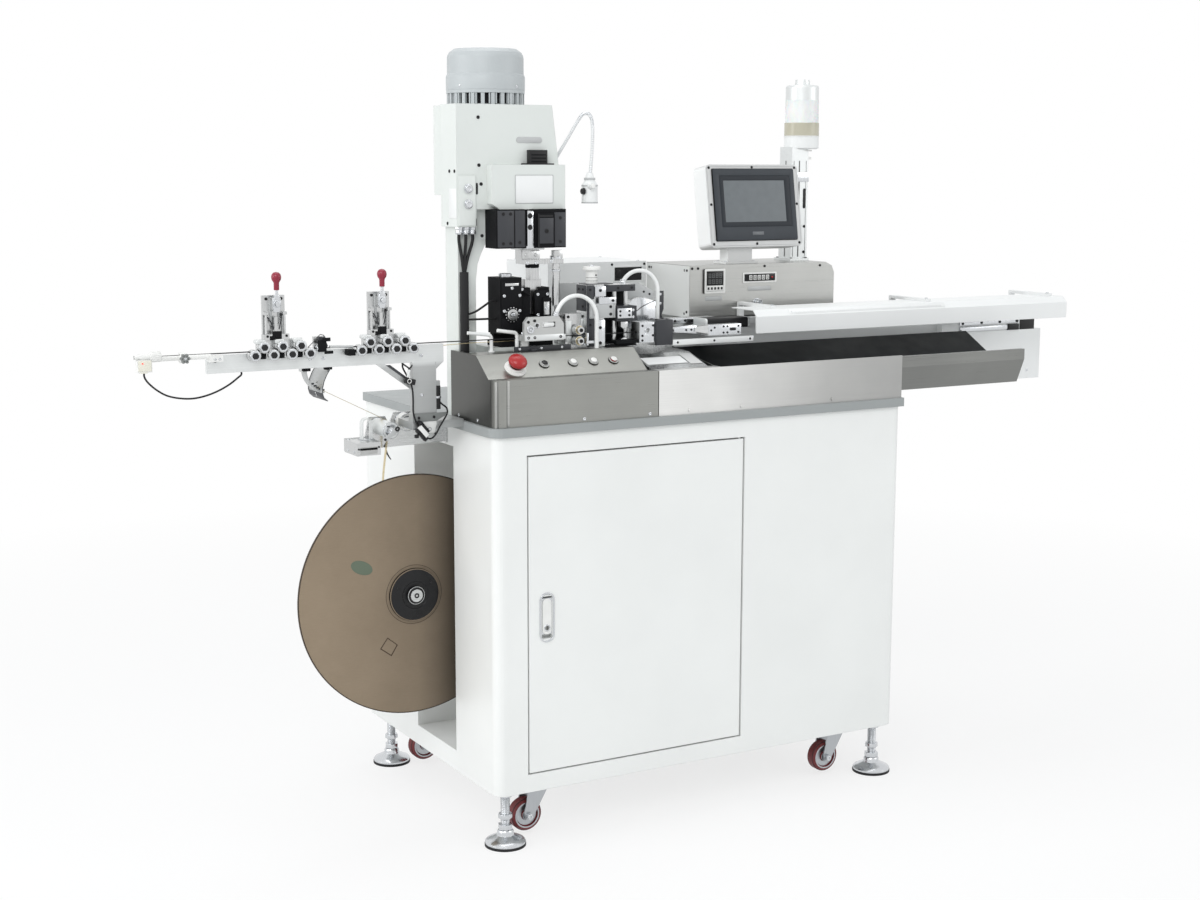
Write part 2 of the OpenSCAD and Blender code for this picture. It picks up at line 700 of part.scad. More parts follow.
module roller(x, z, y0, y1) {
    groove = 3;
    mid = y1 - wire_y;
    translate([x, y1, z]) rotate([90, 0, 0]) rotate_extrude() polygon([
        [2, 0], [roller_r, 0], [roller_r, mid - groove], [groove_r, mid - wire_r],
        [groove_r, mid + wire_r], [roller_r, mid + groove], [roller_r, y1 - y0], [2, y1 - y0]]);
}

module axle_and_head(x, z, y1) {
    rod_y(wire_y - 11, y1, x, z, 2);
    rod_y(wire_y - 13, wire_y - 10.7, x, z, 4);
}

back_y = arm_y0 + 4;
clamp_y = arm_y0 - 9;
guide_rod_y = arm_y0 - 3.5;
slider_z = upper_row_z + roller_r + 1;
block_lift = 5;

module straighteners() place() color("silver") {
    for (x = bank_xs) {
        for (i = [0:3]) {
            roller(x + i * roller_pitch, lower_row_z, wire_y - 9, wire_y + 9);
            axle_and_head(x + i * roller_pitch, lower_row_z, arm_y0);
        }
        // Backing plate with the toggle clamp's base and the guide rods
        px = x + plate_dx;
        difference() {
            block(px, px + plate_w, back_y, arm_y1, arm_top_z, plate_z1);
            for (dx = [7, plate_w - 7], dz = [6, 40])
                rod_y(back_y - 1, back_y + 3, px + dx, plate_z1 - dz, 2);
        }
        block(px + pivot_dx - 8, px + pivot_dx + 8, clamp_y, back_y + 1,
            plate_z1 - 24, plate_z1 - 4);
        rod_y(clamp_y - 8, clamp_y + 1, px + pivot_dx, plate_z1 - 14, 2.5);
        for (dx = [3.5, plate_w - 3.5]) {
            rod_z(slider_z + block_lift + 0.5, plate_z1 - 32, px + dx, guide_rod_y, 2);
            block(px + dx - 3.5, px + dx + 3.5, guide_rod_y - 4, back_y + 1,
                plate_z1 - 33, plate_z1 - 28);
        }
    }
    // Eyelet between the banks
    difference() {
        union() {
            block(-290, -276, arm_y0 - 14, arm_y0 + 4, arm_top_z, wire_z + 8);
            block(-294, -272, arm_y0 - 2, arm_y0 + 4, arm_top_z, wire_z + 20);
        }
        rod_x(-300, -270, wire_y, wire_z, 2.5);
    }
}

module roller_block(bank) {
    px = bank_xs[bank] + plate_dx;
    y1 = back_y - guide_gap;
    place() color("silver") {
        difference() {
            union() {
                block(bank_xs[bank] + 8, bank_xs[bank] + 2.5 * roller_pitch + 8,
                    wire_y + 9.3, y1, upper_row_z - 6, slider_z + 1);
                block(px - 3, px + plate_w + 3, guide_rod_y - 5, y1, slider_z, slider_z + 10);
                block(px + 17, px + 23, guide_rod_y - 4, y1 - 1, slider_z + 9, plate_z1 - 36);
            }
            for (dx = [3.5, plate_w - 3.5])
                rod_z(slider_z - 10, plate_z1, px + dx, guide_rod_y, 2 + pin_gap);
        }
        for (i = [0:2]) {
            rx = bank_xs[bank] + (i + 0.5) * roller_pitch;
            roller(rx, upper_row_z, wire_y - 9, wire_y + 9);
            axle_and_head(rx, upper_row_z, y1 - 1);
        }
    }
}

module clamp_lever(bank) {
    px = bank_xs[bank] + plate_dx + pivot_dx;
    pivot_z = plate_z1 - 14;
    lever_y = clamp_y - 2 - seat;
    place() {
        color("silver") difference() {
            union() {
                front_prism(lever_y - 2, lever_y + 2, [
                    [px - 6, pivot_z - 14], [px + 4, pivot_z - 14], [px + 7, pivot_z],
                    [px + 4, pivot_z + 16], [px - 4, pivot_z + 16], [px - 7, pivot_z]]);
                rod_z(pivot_z + 14, pivot_z + 38, px, lever_y, 1.8);
            }
            rod_y(lever_y - 6, lever_y + 6, px, pivot_z, 2.5 + pin_gap);
        }
        color("crimson") {
            rod_z(pivot_z + 30, pivot_z + 42, px, lever_y, 4);
            translate([px, lever_y, pivot_z + 46]) sphere(r = 8);
        }
    }
}

module wire_inlet() place() color("ivory") {
    x = tip_x;
    difference() {
        union() {
            rod_x(x, x + 10, wire_y, wire_z, 3.5);
            rod_x(x + 8, x + 26, wire_y, wire_z, 5);
            rod_x(x + 26, x + 44, wire_y, wire_z, 8);
            block(x + 4, x + 28, wire_y - 6, wire_y + 6, wire_z - 25, wire_z - 4);
            rod_x(x + 44, -arm_reach + 3, wire_y, wire_z - 4, 4.5);
            rod_x(x + 76, x + 84, wire_y, wire_z - 4, 9);
            rod_y(wire_y - 16, wire_y - 8, x + 80, wire_z - 4, 7);
        }
        rod_x(x - 1, -arm_reach + 4, wire_y, wire_z, 1.7);
    }
    // Lug on the arm's end
    block(-arm_reach, -arm_reach + 24, wire_y - 5, arm_y0, wire_z - 14, wire_z - 3);
}

// Wire, strip and cords

module feed_wire() place() color("black") {
    rod_x(tip_x + 2, swing_x - 13.5, wire_y, wire_z, wire_r);
    rod_x(swing_x + 75.4, gripper_x0 + 22, wire_y, wire_z, wire_r);
}

sensor_route = [for (p = [
    [-594, 105, -25.3], [-594, 105, -33], [-588, 105.5, -43], [-574, 107, -56],
    [-556, 109, -67], [-534, 111, -73], [-511, 113, -75], [-488, 115, -72],
    [-465, 117, -65], [-444, 119, -55], [-428, 120, -44]]) p + [0, 0, wire_z]];
// Cable that loops from the arm's underside past the post and up to a clip on its right side
loop_route = [for (p = [
    [-124, 120, -35.3], [-124, 120, -44], [-119, 115, -57], [-114, 110, -70], [-110, 110, -84],
    [-109, 110, -104], [-109, 110, -124], [-105, 109, -141], [-97, 109, -156], [-86, 109, -170],
    [-76, 109, -175], [-66, 109, -168], [-57, 110, -154], [-47, 111, -140], [-41, 112, -130],
    [-42, 113, -121], [-50, 115, -114], [-55.5, 118, -106], [-56, 120, -92],
    [-56, 120, -80 - seat]]) p + [0, 0, wire_z]];

module cables() place() color("black") {
    z_top = head_z - 44;
    // Cable of the wire sensor, hanging under the guide arm
    swept_tube(concat(sensor_route, [[-423, 120, arm_low_z - 5], [-423, 120, arm_low_z - seat]]),
        1.6, 8);
    swept_tube(loop_route, 1.6, 8);
    // Cables from the glands into the sleeve beside the press
    for (x = gland_xs)
        swept_tube([[x, 157, z_top], [x, 157, z_top - 14],
            [x * 0.4 + sleeve_x * 0.6, 156.5, z_top - 46], [sleeve_x, 156, z_top - 78]], 3, 8);
    rod_z(table_z, z_top - 70, sleeve_x, 156, 8.4);
    // Two thin lines from the sleeve to the applicator
    swept_tube([for (p = [[22, 150, 62], [36, 148, 67], [54, 146, 78], [66, 146, 85],
        [75.5, 146, 85]]) p + [0, 0, jaw_z]], 2, 8);
    swept_tube([for (p = [[22, 152, 52], [42, 149, 52], [66, 148, 52], [75.5, 148, 52]])
        p + [0, 0, jaw_z]], 2, 8);
}

module air_hoses() place() color("white") {
    // Hose that arches from the swing arm to the cutter
    swept_tube(concat(strip_arc([211, wire_z + 33], 43, 168.5, 0, 84, 82, 14),
        [[254, 82, wire_z + 10], [254, 82, hood_top_z + seat]]), 4, 10);
    // Hose from the cutter head to the wire guard
    swept_tube(concat(strip_arc([372, wire_z + 80], 36, 156.5, 0, 132, 117, 14),
        [[408, 117, wire_z + 50], [408, 117, wire_z + 22 + seat]]), 4, 10);
}

// The terminal strip's path: points [x, y, z], wound off the coil and led over the rollers
strip_w = 8;
strip_t = 0.6;

function strip_arc(c, r, a0, a1, y0, y1, n) =
    [for (i = [0:n]) let (a = a0 + (a1 - a0) * i / n)
        [c[0] + r * cos(a), y0 + (y1 - y0) * i / n, c[1] + r * sin(a)]];

strip_off = seat + strip_t / 2 + 0.2;
coil_c = [reel_x, reel_z];
chute_low = chute_c + (chute_r - 3 - strip_off) * [cos(258), sin(258)];
// Angles at which the strip leaves the coil and turns over the roller towards the chute
coil_a = atan2(roller_a[1] - coil_c[1], roller_a[0] - coil_c[0])
    + acos((coil_r + roller_a_r + 2 * strip_off) / norm(roller_a - coil_c));
turn_a = atan2(chute_low[1] - roller_a[1], chute_low[0] - roller_a[0])
    - acos((roller_a_r + strip_off) / norm(chute_low - roller_a));
coil_end = [coil_c[0] + (coil_r + strip_off) * cos(coil_a), 212,
    coil_c[1] + (coil_r + strip_off) * sin(coil_a)];
roller_turn = strip_arc(roller_a, roller_a_r + strip_off, coil_a - 180, turn_a, 200, 196, 6);
strip_path = concat(
    [coil_end, coil_end + 0.74 * (roller_turn[0] + [0, 9, 0] - coil_end)],
    roller_turn,
    strip_arc(chute_c, chute_r - 3 - strip_off, 258, 180, 136, 136, 8),
    strip_arc([chute_c[0] - 20, chute_c[1]], 20, 170, 92, 136, 136, 5),
    [[10, 134, jaw_z + 10.7], [ram_x + 20, 134, jaw_z + 10.7]]);
function strip_dir(i) =
    let (d = strip_path[min(i + 1, len(strip_path) - 1)] - strip_path[max(i - 1, 0)])
    unit([d[0], 0, d[2]]);

module terminal_strip() place() color("goldenrod") {
    count = len(strip_path);
    points = [for (i = [0:count - 1]) let (p = strip_path[i], d = strip_dir(i),
        up = [-d[2], 0, d[0]] * strip_t / 2, side = [0, strip_w / 2, 0])
        each [p - up - side, p - up + side, p + up + side, p + up - side]];
    walls = [for (i = [0:count - 2]) for (k = [0:3])
        let (a = i * 4 + k, b = i * 4 + (k + 1) % 4)
        each [[a, a + 4, b + 4], [a, b + 4, b]]];
    polyhedron(points, concat(walls, [[0, 1, 2, 3]],
        [[for (k = [3:-1:0]) (count - 1) * 4 + k]]), convexity = 10);
}

// Reel, stand and guide rollers

module reel_stand() place() color("silver") {
    // Axle held by a plate on the niche's front edge side wall
    rod_y(reel_y0 - 14, 330, reel_x, reel_z, axle_r);
    rod_y(reel_y0 + reel_w + seat, reel_y0 + reel_w + 12, reel_x, reel_z, axle_r + 6);
    rod_y(reel_y0 - 12, reel_y0 - 5 - seat, reel_x, reel_z, axle_r + 5);
    front_prism(318, 326, [
        [reel_x - 30, reel_z - 26], [reel_x + 26, reel_z - 32], [0, reel_z - 60],
        [20, reel_z - 60], [20, reel_z + 60], [0, reel_z + 60],
        [reel_x + 26, reel_z + 32], [reel_x - 30, reel_z + 26]]);
    block(niche_d - 90, niche_d - sheet_t, 318, 326, reel_z - 40, reel_z + 40);
    block(10, niche_d - sheet_t, 318, 326, reel_z - 24, reel_z + 24);
    // Bracket on the cabinet's side that carries the two strip guide rollers and the wiper box
    front_prism(roller_plate_y, roller_plate_y + 4, [
        [-200, body_z1 - 38], [-seat, body_z1 - 34], [-seat, body_z1 - 4], [-60, body_z1 - 4],
        [-66, body_z1 + 28], [-102, body_z1 + 28], [-112, body_z1 + 8], [-120, body_z1 + 22],
        [-152, body_z1 + 22], [-160, body_z1 - 14], [-200, body_z1 - 14]]);
    block(-4, -seat, roller_plate_y - 14, roller_plate_y + 18, body_z1 - 34, body_z1 - 4);
    difference() {
        block(-200, -154, 156, roller_plate_y + 1, body_z1 - 39, body_z1 - 15);
        block(-194, -160, 150, roller_plate_y - 6, body_z1 - 29, body_z1 - 25);
    }
    rod_y(144, roller_plate_y + 1, roller_a[0], roller_a[1], 4);
    rod_y(144, 150 - seat, roller_a[0], roller_a[1], 7);
    rod_y(187, roller_plate_y + 1, roller_b[0], roller_b[1], 4);
    rod_y(187, 193 - seat, roller_b[0], roller_b[1], 7);
}

module strip_roller(p, r, y0) {
    place() color("gainsboro") translate([p[0], roller_plate_y - seat, p[1]]) rotate([90, 0, 0])
        difference() {
            cylinder(h = roller_plate_y - seat - y0, r = r);
            translate([0, 0, -1]) cylinder(h = roller_plate_y - y0 + 2, r = 4 + pin_gap);
        }
}

module reel() place() {
    disc_t = 3;
    rear_disc_step = 16;
    color("peru") translate([reel_x, reel_y0 + reel_w, reel_z]) rotate([90, 0, 0]) {
        difference() {
            union() {
                cylinder(h = disc_t, r = reel_r - rear_disc_step, $fn = 96);
                translate([0, 0, reel_w - disc_t]) cylinder(h = disc_t, r = reel_r, $fn = 96);
                cylinder(h = reel_w, r = hub_r);
                // Strip wound on the core
                translate([0, 0, disc_t + 2])
                    cylinder(h = reel_w - 2 * disc_t - 4, r = coil_r, $fn = 96);
                translate([0, 0, reel_w - 1]) cylinder(h = 6, r = hub_r);
            }
            translate([0, 0, -1]) cylinder(h = reel_w + 8, r = axle_r + pin_gap);
        }
    }
}

// Cutter, feed wheels and swing arm

cutter_x0 = 242;
blade_x0 = 302;
blade_x1 = 346;
rod_xs = [312, 337];
rod_y_at = wire_y + 14;
blade_travel = 6;
feed_x = 226;
feed_r = 9;
feed_dz = feed_r + wire_r + 0.2;

module cutter_frame() place() color("silver") {
    difference() {
        union() {
            // Deck on its ribs
            plan_prism(deck_z - 14, deck_z, [
                [deck_x0, 99], [slope_x1 - 2.3, 99], [slope_x1 - 2.3, 192], [deck_x1, 192],
                [deck_x1, 390],
                [deck_x0 + 14, 390], [deck_x0 + 14, 240], [deck_x0, 240]]);
            for (x = [deck_x0 + 16, 390]) block(x, x + 12, 200, 380, table_z, deck_z - 13);
            block(deck_x0, deck_x0 + 12, 110, 240, table_z, deck_z - 13);
            block(slope_x1 + 4, deck_x1, 186, 198, table_z, deck_z - 13);
            // Tower, top bridge and base of the cutter
            block(cutter_x0, cutter_x0 + 38, wire_y - 5, wire_y + 34, deck_z - 1, wire_z + 94);
            block(cutter_x0, blade_x1 + 2, wire_y - 4, wire_y + 34, wire_z + 80, wire_z + 92);
            block(cutter_x0, blade_x1 + 2, wire_y + 2, wire_y + 34, deck_z - 1, deck_z + 4);
            block(cutter_x0, blade_x1 + 2, wire_y + 26, wire_y + 34, deck_z, wire_z + 90);
        }
        rod_x(cutter_x0 - 1, cutter_x0 + 40, wire_y, wire_z, 4);
        rod_z(wire_z + 60, wire_z + 100, 325, rod_y_at, 4);
    }
    for (x = rod_xs) rod_z(deck_z + 3, wire_z + 81, x, rod_y_at, 5);
    // Round setting column with its cap
    rod_z(wire_z + 90, wire_z + 121, cutter_x0 + 21.5, rod_y_at, 10.5);
    rod_z(wire_z + 120, wire_z + 126, cutter_x0 + 21.5, rod_y_at, 16);
    // Upright plate behind the feed block, and the rail in front of the gripper
    block(224, 302, 196, 199, deck_z - 1, wire_z + 92);
    block(423, 612, 88, 94, deck_z - 3, wire_z - 17);
    // Feed block behind the feed wheels
    block(feed_x - 21, feed_x + 22, wire_y + 10, wire_y + 38, deck_z - 1, wire_z + 40);
    for (side = [-1, 1]) {
        rod_y(wire_y - 11, wire_y + 11, feed_x, wire_z + side * feed_dz, 4);
        rod_y(wire_y - 14, wire_y - 9 - seat, feed_x, wire_z + side * feed_dz, 6.5);
    }
    // Sloping chute between the hood and the collecting trough
    side_prism(hood_w + 3, deck_x1, [
        [slope_y0 + 3, hood_front_z - 5], [slope_y0 + 3, hood_front_z - 2.5], [100, deck_z - 18],
        [188, deck_z - 15], [188, deck_z - 17.5], [100, deck_z - 20.5]]);
    // Curved guard plate behind the exit guides, and the notched bracket at the deck's end
    front_prism(148, 152, concat(
        [[430, wire_z + 5], [430, wire_z + 52]],
        arc_points(388, wire_z + 24, 40, 60, 155, 8),
        [[350, wire_z + 5]]));
    front_prism(196, 203, [
        [deck_x1 - 18, deck_z - 1], [deck_x1 - 4, deck_z - 1], [deck_x1 - 4, wire_z + 6],
        [deck_x1 - 1, wire_z + 12], [deck_x1 - 6, wire_z + 22], [deck_x1 - 1, wire_z + 34],
        [deck_x1 - 1, wire_z + 70], [deck_x1 - 17, wire_z + 70], [deck_x1 - 17, wire_z + 40],
        [deck_x1 - 14, wire_z + 24]]);
    // Exit guides beyond the cutter, on an angle from the deck
    difference() {
        union() {
            block(352, 388, wire_y - 14, wire_y + 16, wire_z - 20, wire_z + 20);
            block(388, 424, wire_y - 18, wire_y + 20, wire_z - 26, wire_z + 22);
            block(352, 424, wire_y + 10, 210, deck_z - 1, wire_z + 6);
        }
        rod_x(350, 430, wire_y, wire_z, 4);
        rod_y(wire_y - 20, wire_y - 8, 370, wire_z + 4, 4);
    }
}

module feed_wheel(side) place() color("gray") difference() {
    union() {
        rod_y(wire_y - 7, wire_y + 7, feed_x, wire_z + side * feed_dz, feed_r);
        rod_y(wire_y - 9, wire_y + 10 - seat, feed_x, wire_z + side * feed_dz, 6);
    }
    rod_y(wire_y - 20, wire_y + 20, feed_x, wire_z + side * feed_dz, 4 + pin_gap);
}

module blade_holder(z0, z1) difference() {
    block(blade_x0, blade_x1, wire_y - 14, wire_y + 25, z0, z1);
    for (x = rod_xs) rod_z(z0 - 1, z1 + 1, x, rod_y_at, 5 + pin_gap);
}

module blade_upper() place() color("lightgray") {
    blade_holder(wire_z + 24, wire_z + 52);
    front_prism(wire_y - 5, wire_y + 5, [
        [blade_x0 + 14, wire_z + 26], [blade_x0 + 14, wire_z + 13], [blade_x0 + 19, wire_z + 8],
        [blade_x0 + 25, wire_z + 8], [blade_x0 + 30, wire_z + 13], [blade_x0 + 30, wire_z + 26]]);
    block(blade_x0 - 0, blade_x0 + 30, wire_y - 18, wire_y - 13, wire_z + 30, wire_z + 48);
}

module blade_lower() place() color("dimgray") {
    z0 = deck_z + 4.5;
    z1 = z0 + 6.5;
    blade_holder(z0, z1);
    front_prism(wire_y - 5, wire_y + 5, [
        [blade_x0 + 14, z1 - 1], [blade_x0 + 30, z1 - 1], [blade_x0 + 30, z1 + 1],
        [blade_x0 + 25, wire_z - 8], [blade_x0 + 19, wire_z - 8], [blade_x0 + 14, z1 + 1]]);
}

swing_x = 113;

module swing_arm() place() color("white") {
    plate_y = wire_y - 21;
    low_z = jaw_z + 13.5;
    difference() {
        union() {
            front_prism(plate_y - 4, plate_y + 4, [
                [swing_x - 12, low_z], [swing_x + 70, low_z], [swing_x + 70, wire_z + 26],
                [swing_x + 60, wire_z + 40], [swing_x - 4, wire_z + 40], [swing_x - 12, wire_z + 30]]);
            block(swing_x - 12, swing_x + 70, plate_y, wire_y + 7, low_z, wire_z + 6);
            rod_z(jaw_z + seat, low_z + 1, swing_x, wire_y, 9);
        }
        rod_z(jaw_z - 1, wire_z - 4.5, swing_x, wire_y, 5 + pin_gap);
        rod_x(swing_x - 20, swing_x + 80, wire_y, wire_z, 2.5);
        rod_y(plate_y - 12, plate_y + 12, swing_x + 14, wire_z + 24, 3.5);
        block(swing_x + 26, swing_x + 52, plate_y - 6, plate_y + 6, wire_z + 20, wire_z + 30);
    }
}

// Gantry, gripper, covers and trough

beam_x0 = deck_x0 + 268;
gripper_x0 = beam_x0 + 7;
beam_y0 = 202;
beam_y1 = 290;
beam_z1 = 893;
riser_z1 = wire_z + 8;
rail_y0 = 214;

module gantry_beam() place() color("whitesmoke") {
    x0 = beam_x0;
    difference() {
        union() {
            block(x0, beam_x1, beam_y0, beam_y1, table_z, beam_z1);
            block(cab_w + 8, beam_x1, beam_y0, beam_y1, table_z - 11, table_z + 1);
        }
        block(x0 + 4, beam_x1 - 3, beam_y0 + 4, beam_y1 - 4, table_z - 12, beam_z1 - 4);
    }
    block(x0 + 2, beam_x1 - 40, rail_y0 + 8, beam_y1 - 24, beam_z1, riser_z1);
    block(x0 + 4, beam_x1 - 60, rail_y0, rail_y0 + 8, wire_z - 5, wire_z + 7);
    block(cab_w + 270, beam_x1 - 20, beam_y0 + 1, rail_y0 + 9, beam_z1 - 1, beam_z1 + 24);
    // Arms that hold the long cover
    for (x = [cover_x0 + 48, cover_x0 + 442, beam_x1 - 76])
        side_prism(x, x + 14, [
            [rail_y0 + 8, riser_z1 - 1], [rail_y0 + 14, riser_z1 - 1],
            [rail_y0 + 14, cover_top_z + 6], [cover_y0 + 20, cover_top_z + 6],
            [cover_y0 + 20, cover_top_z], [rail_y0 + 8, cover_top_z]]);
}

cover_x0 = beam_x0 + 144;
cover_y0 = 85;
cover_low_z = wire_z - 13;
cover_top_z = cover_low_z + cover_h;
cover_t = 2;

module long_cover() place() color("white") {
    x1 = cover_x0 + cover_l;
    y1 = cover_y0 + cover_d;
    side_prism(cover_x0, x1, [
        [cover_y0, cover_low_z], [cover_y0 + cover_t, cover_low_z],
        [cover_y0 + cover_t, cover_top_z - 14], [cover_y0 + 14, cover_top_z - cover_t],
        [y1, cover_top_z - cover_t], [y1, cover_top_z], [cover_y0 + 13, cover_top_z],
        [cover_y0, cover_top_z - 13]]);
}

module gripper() place() color("silver") {
    x1 = gripper_x0 + 108;
    y1 = rail_y0 - guide_gap;
    difference() {
        union() {
            block(gripper_x0 + 4, x1, rail_y0 - 18, y1, wire_z - 16, wire_z + 14);
            block(gripper_x0 + 4, x1, y1 - 1, rail_y0 + 6, wire_z + 7 + guide_gap, wire_z + 14);
            block(gripper_x0 + 4, x1, y1 - 1, rail_y0 + 6, wire_z - 16, wire_z - 5 - guide_gap);
            // Arm plate out to the jaws
            block(gripper_x0 + 30, x1, wire_y + 6, rail_y0 - 17, wire_z - 14, wire_z - 4);
            block(gripper_x0 + 30, x1, wire_y - 8, wire_y + 8, wire_z - 14, wire_z + 8);
            for (side = [-1, 1])
                front_prism(wire_y + side * 5.5 - 3.5, wire_y + side * 5.5 + 3.5, [
                    [gripper_x0, wire_z - 4], [gripper_x0 + 34, wire_z - 10],
                    [gripper_x0 + 34, wire_z + 8], [gripper_x0, wire_z + 4]]);
        }
        rod_x(gripper_x0 - 1, gripper_x0 + 60, wire_y, wire_z, 2.2);
    }
}

trough_x0 = 486;
trough_t = 2;
trough_lip_z = hood_front_z - 3;

module trough() place() color("gray") {
    y = steel_t + seat;
    x1 = trough_x0 + trough_l;
    side_prism(trough_x0, x1, [
        [y, trough_lip_z - 22], [y, trough_lip_z], [y + 10, trough_lip_z],
        [y + 10, trough_lip_z - trough_t], [y + trough_t, trough_lip_z - trough_t],
        [y + trough_t, trough_lip_z - 22.7], [24, table_z + 14], [190, wire_z - 45],
        [190, wire_z - 47.3], [23, table_z + 11.5]]);
    // Closed left end and two feet on the table plate
    side_prism(trough_x0, trough_x0 + 2, [
        [y + 0.5, trough_lip_z - 4], [y + 0.5, trough_lip_z - 22], [23, table_z + 12],
        [189, wire_z - 46], [189, wire_z - 40]]);
    for (x = [trough_x0 + 30, cab_w - 60])
        side_prism(x, x + 20, [
            [60, table_z], [90, table_z], [90, table_z + 46], [60, table_z + 30]]);
}

// Instruments

instrument_x0 = 553;
instrument_y0 = 230;
instrument_z0 = wire_z + 9;
instrument_z1 = instrument_z0 + instrument_h;
hmi_x0 = 616;
hmi_y0 = 250;
hmi_z0 = instrument_z1 + 34;

module instrument_housing() place() color("silver") {
    x0 = instrument_x0;
    x1 = x0 + instrument_w;
    y1 = instrument_y0 + instrument_d;
    difference() {
        front_prism(instrument_y0, y1, [
            [x0, instrument_z0], [x1, instrument_z0], [x1, instrument_z1 - 22],
            [x1 - 6, instrument_z1 - 8], [x1 - 22, instrument_z1], [x0, instrument_z1]]);
        front_prism(instrument_y0 + 2, y1 + 1, [
            [x0 + 2, instrument_z0 + 2], [x1 - 2, instrument_z0 + 2],
            [x1 - 2, instrument_z1 - 23], [x1 - 8, instrument_z1 - 9.5],
            [x1 - 23, instrument_z1 - 2], [x0 + 2, instrument_z1 - 2]]);
        block(gauge_x0, gauge_x0 + 45, instrument_y0 - 1, instrument_y0 + 3,
            gauge_z0, gauge_z0 + 45);
        block(counter_x0, counter_x0 + 78, instrument_y0 - 1, instrument_y0 + 3,
            counter_z0, counter_z0 + 16);
    }
    // Rear wall and the legs down to the beam and deck
    block(x0 + 4, x1 - 24, y1 - 4, y1 - 2, instrument_z0 + 1, instrument_z1 - 1);
    for (x = [x0 + 20, x1 - 50]) {
        block(x, x + 26, beam_y1 + 30, y1 - 8, table_z, instrument_z0 + 1);
    }
    rod_y(instrument_y0 - 8, instrument_y0 + 1, knob_x, knob_z, 3);
}

knob_x = 717;
knob_z = instrument_z0 + 27;

module selector_knob() place() color("dimgray") difference() {
    union() {
        rod_y(instrument_y0 - 12, instrument_y0 - seat, knob_x, knob_z, 6.5);
        block(knob_x - 1.5, knob_x + 1.5, instrument_y0 - 16, instrument_y0 - 11, knob_z - 6,
            knob_z + 6);
    }
    rod_y(instrument_y0 - 9, instrument_y0 + 1, knob_x, knob_z, 3 + pin_gap);
}

gauge_x0 = 588;
gauge_z0 = instrument_z0 + 51;
counter_x0 = 684;
counter_z0 = instrument_z0 + 70;

module display_units() place() color("dimgray") {
    block(gauge_x0 + seat, gauge_x0 + 45 - seat, instrument_y0 - 1, instrument_y0 + 60,
        gauge_z0 + seat, gauge_z0 + 45 - seat);
    block(gauge_x0 - 2, gauge_x0 + 47, instrument_y0 - 4, instrument_y0, gauge_z0 - 2,
        gauge_z0 + 47);
    block(counter_x0 + seat, counter_x0 + 78 - seat, instrument_y0 + 1, instrument_y0 + 30,
        counter_z0 + seat, counter_z0 + 16 - seat);
    // Touch panel screen unit
    hmi_tilted() {
        block(15, 215, -3, 0, 14, 160);
        block(22 + seat, 208 - seat, -1, 34, 20 + seat, 154 - seat);
    }
}

module hmi_tilted() {
    translate([hmi_x0, hmi_y0, hmi_z0]) rotate([-hmi_tilt, 0, 0]) children();
}

module hmi_housing() place() color("white") {
    hmi_tilted() difference() {
        front_prism(0, 46, concat(
            arc_points(10, 10, 10, 180, 270, 4), arc_points(hmi_w - 10, 10, 10, 270, 360, 4),
            arc_points(hmi_w - 10, hmi_h - 10, 10, 0, 90, 4),
            arc_points(10, hmi_h - 10, 10, 90, 180, 4)));
        block(3, hmi_w - 3, 3, 43, 3, hmi_h - 3);
        block(22, 208, -1, 4, 20, 154);
    }
    // Neck on the instrument housing
    block(665, 725, hmi_y0 + 12, hmi_y0 + 42, instrument_z1, hmi_z0 + 1);
    block(655, 735, hmi_y0 + 4, hmi_y0 + 50, instrument_z1, instrument_z1 + 4);
}

bottle_x = instrument_x0 + instrument_w - 26;
bottle_y = 320;
bottle_z = instrument_z1 + 263;

module oil_bottle() place() color("whitesmoke") {
    post_x1 = instrument_x0 + instrument_w - 23;
    block(post_x1 - 42, post_x1, bottle_y - 22, bottle_y + 22, instrument_z1, bottle_z - 24);
    block(post_x1 - 48, post_x1, bottle_y - 30, bottle_y + 30, instrument_z1, instrument_z1 + 5);
    translate([bottle_x, bottle_y, bottle_z]) rotate_extrude() polygon([
        [0, -26], [20, -26], [20, -4], [34, -2], [36, 0], [36, 26], [35, 27], [35, 100], [33, 104],
        [16, 106], [15, 116], [0, 116]]);
}

module rear_cover() place() color("white") {
    x0 = deck_x0 + 114;
    x1 = instrument_x0 - seat;
    y0 = instrument_y0 + instrument_d + 2;
    y1 = cab_d - 14;
    window_x0 = x1 - 77;
    difference() {
        block(x0, x1, y0, y1, table_z, instrument_z1 + 2);
        block(x0 + 3, x1 - 3, y0 + 3, y1 - 3, table_z - 1, instrument_z1 - 1);
        block(window_x0, window_x0 + 67, y0 - 2, y0 + 5, instrument_z1 - 38, instrument_z1 - 10);
    }
    block(window_x0 - 4, window_x0 + 71, y0 + 4, y0 + 38, instrument_z1 - 42, instrument_z1 - 6);
    block(window_x0 + 10, window_x0 + 60, y0 + 2, y0 + 5, instrument_z1 - 8, instrument_z1 - 0.9);
}

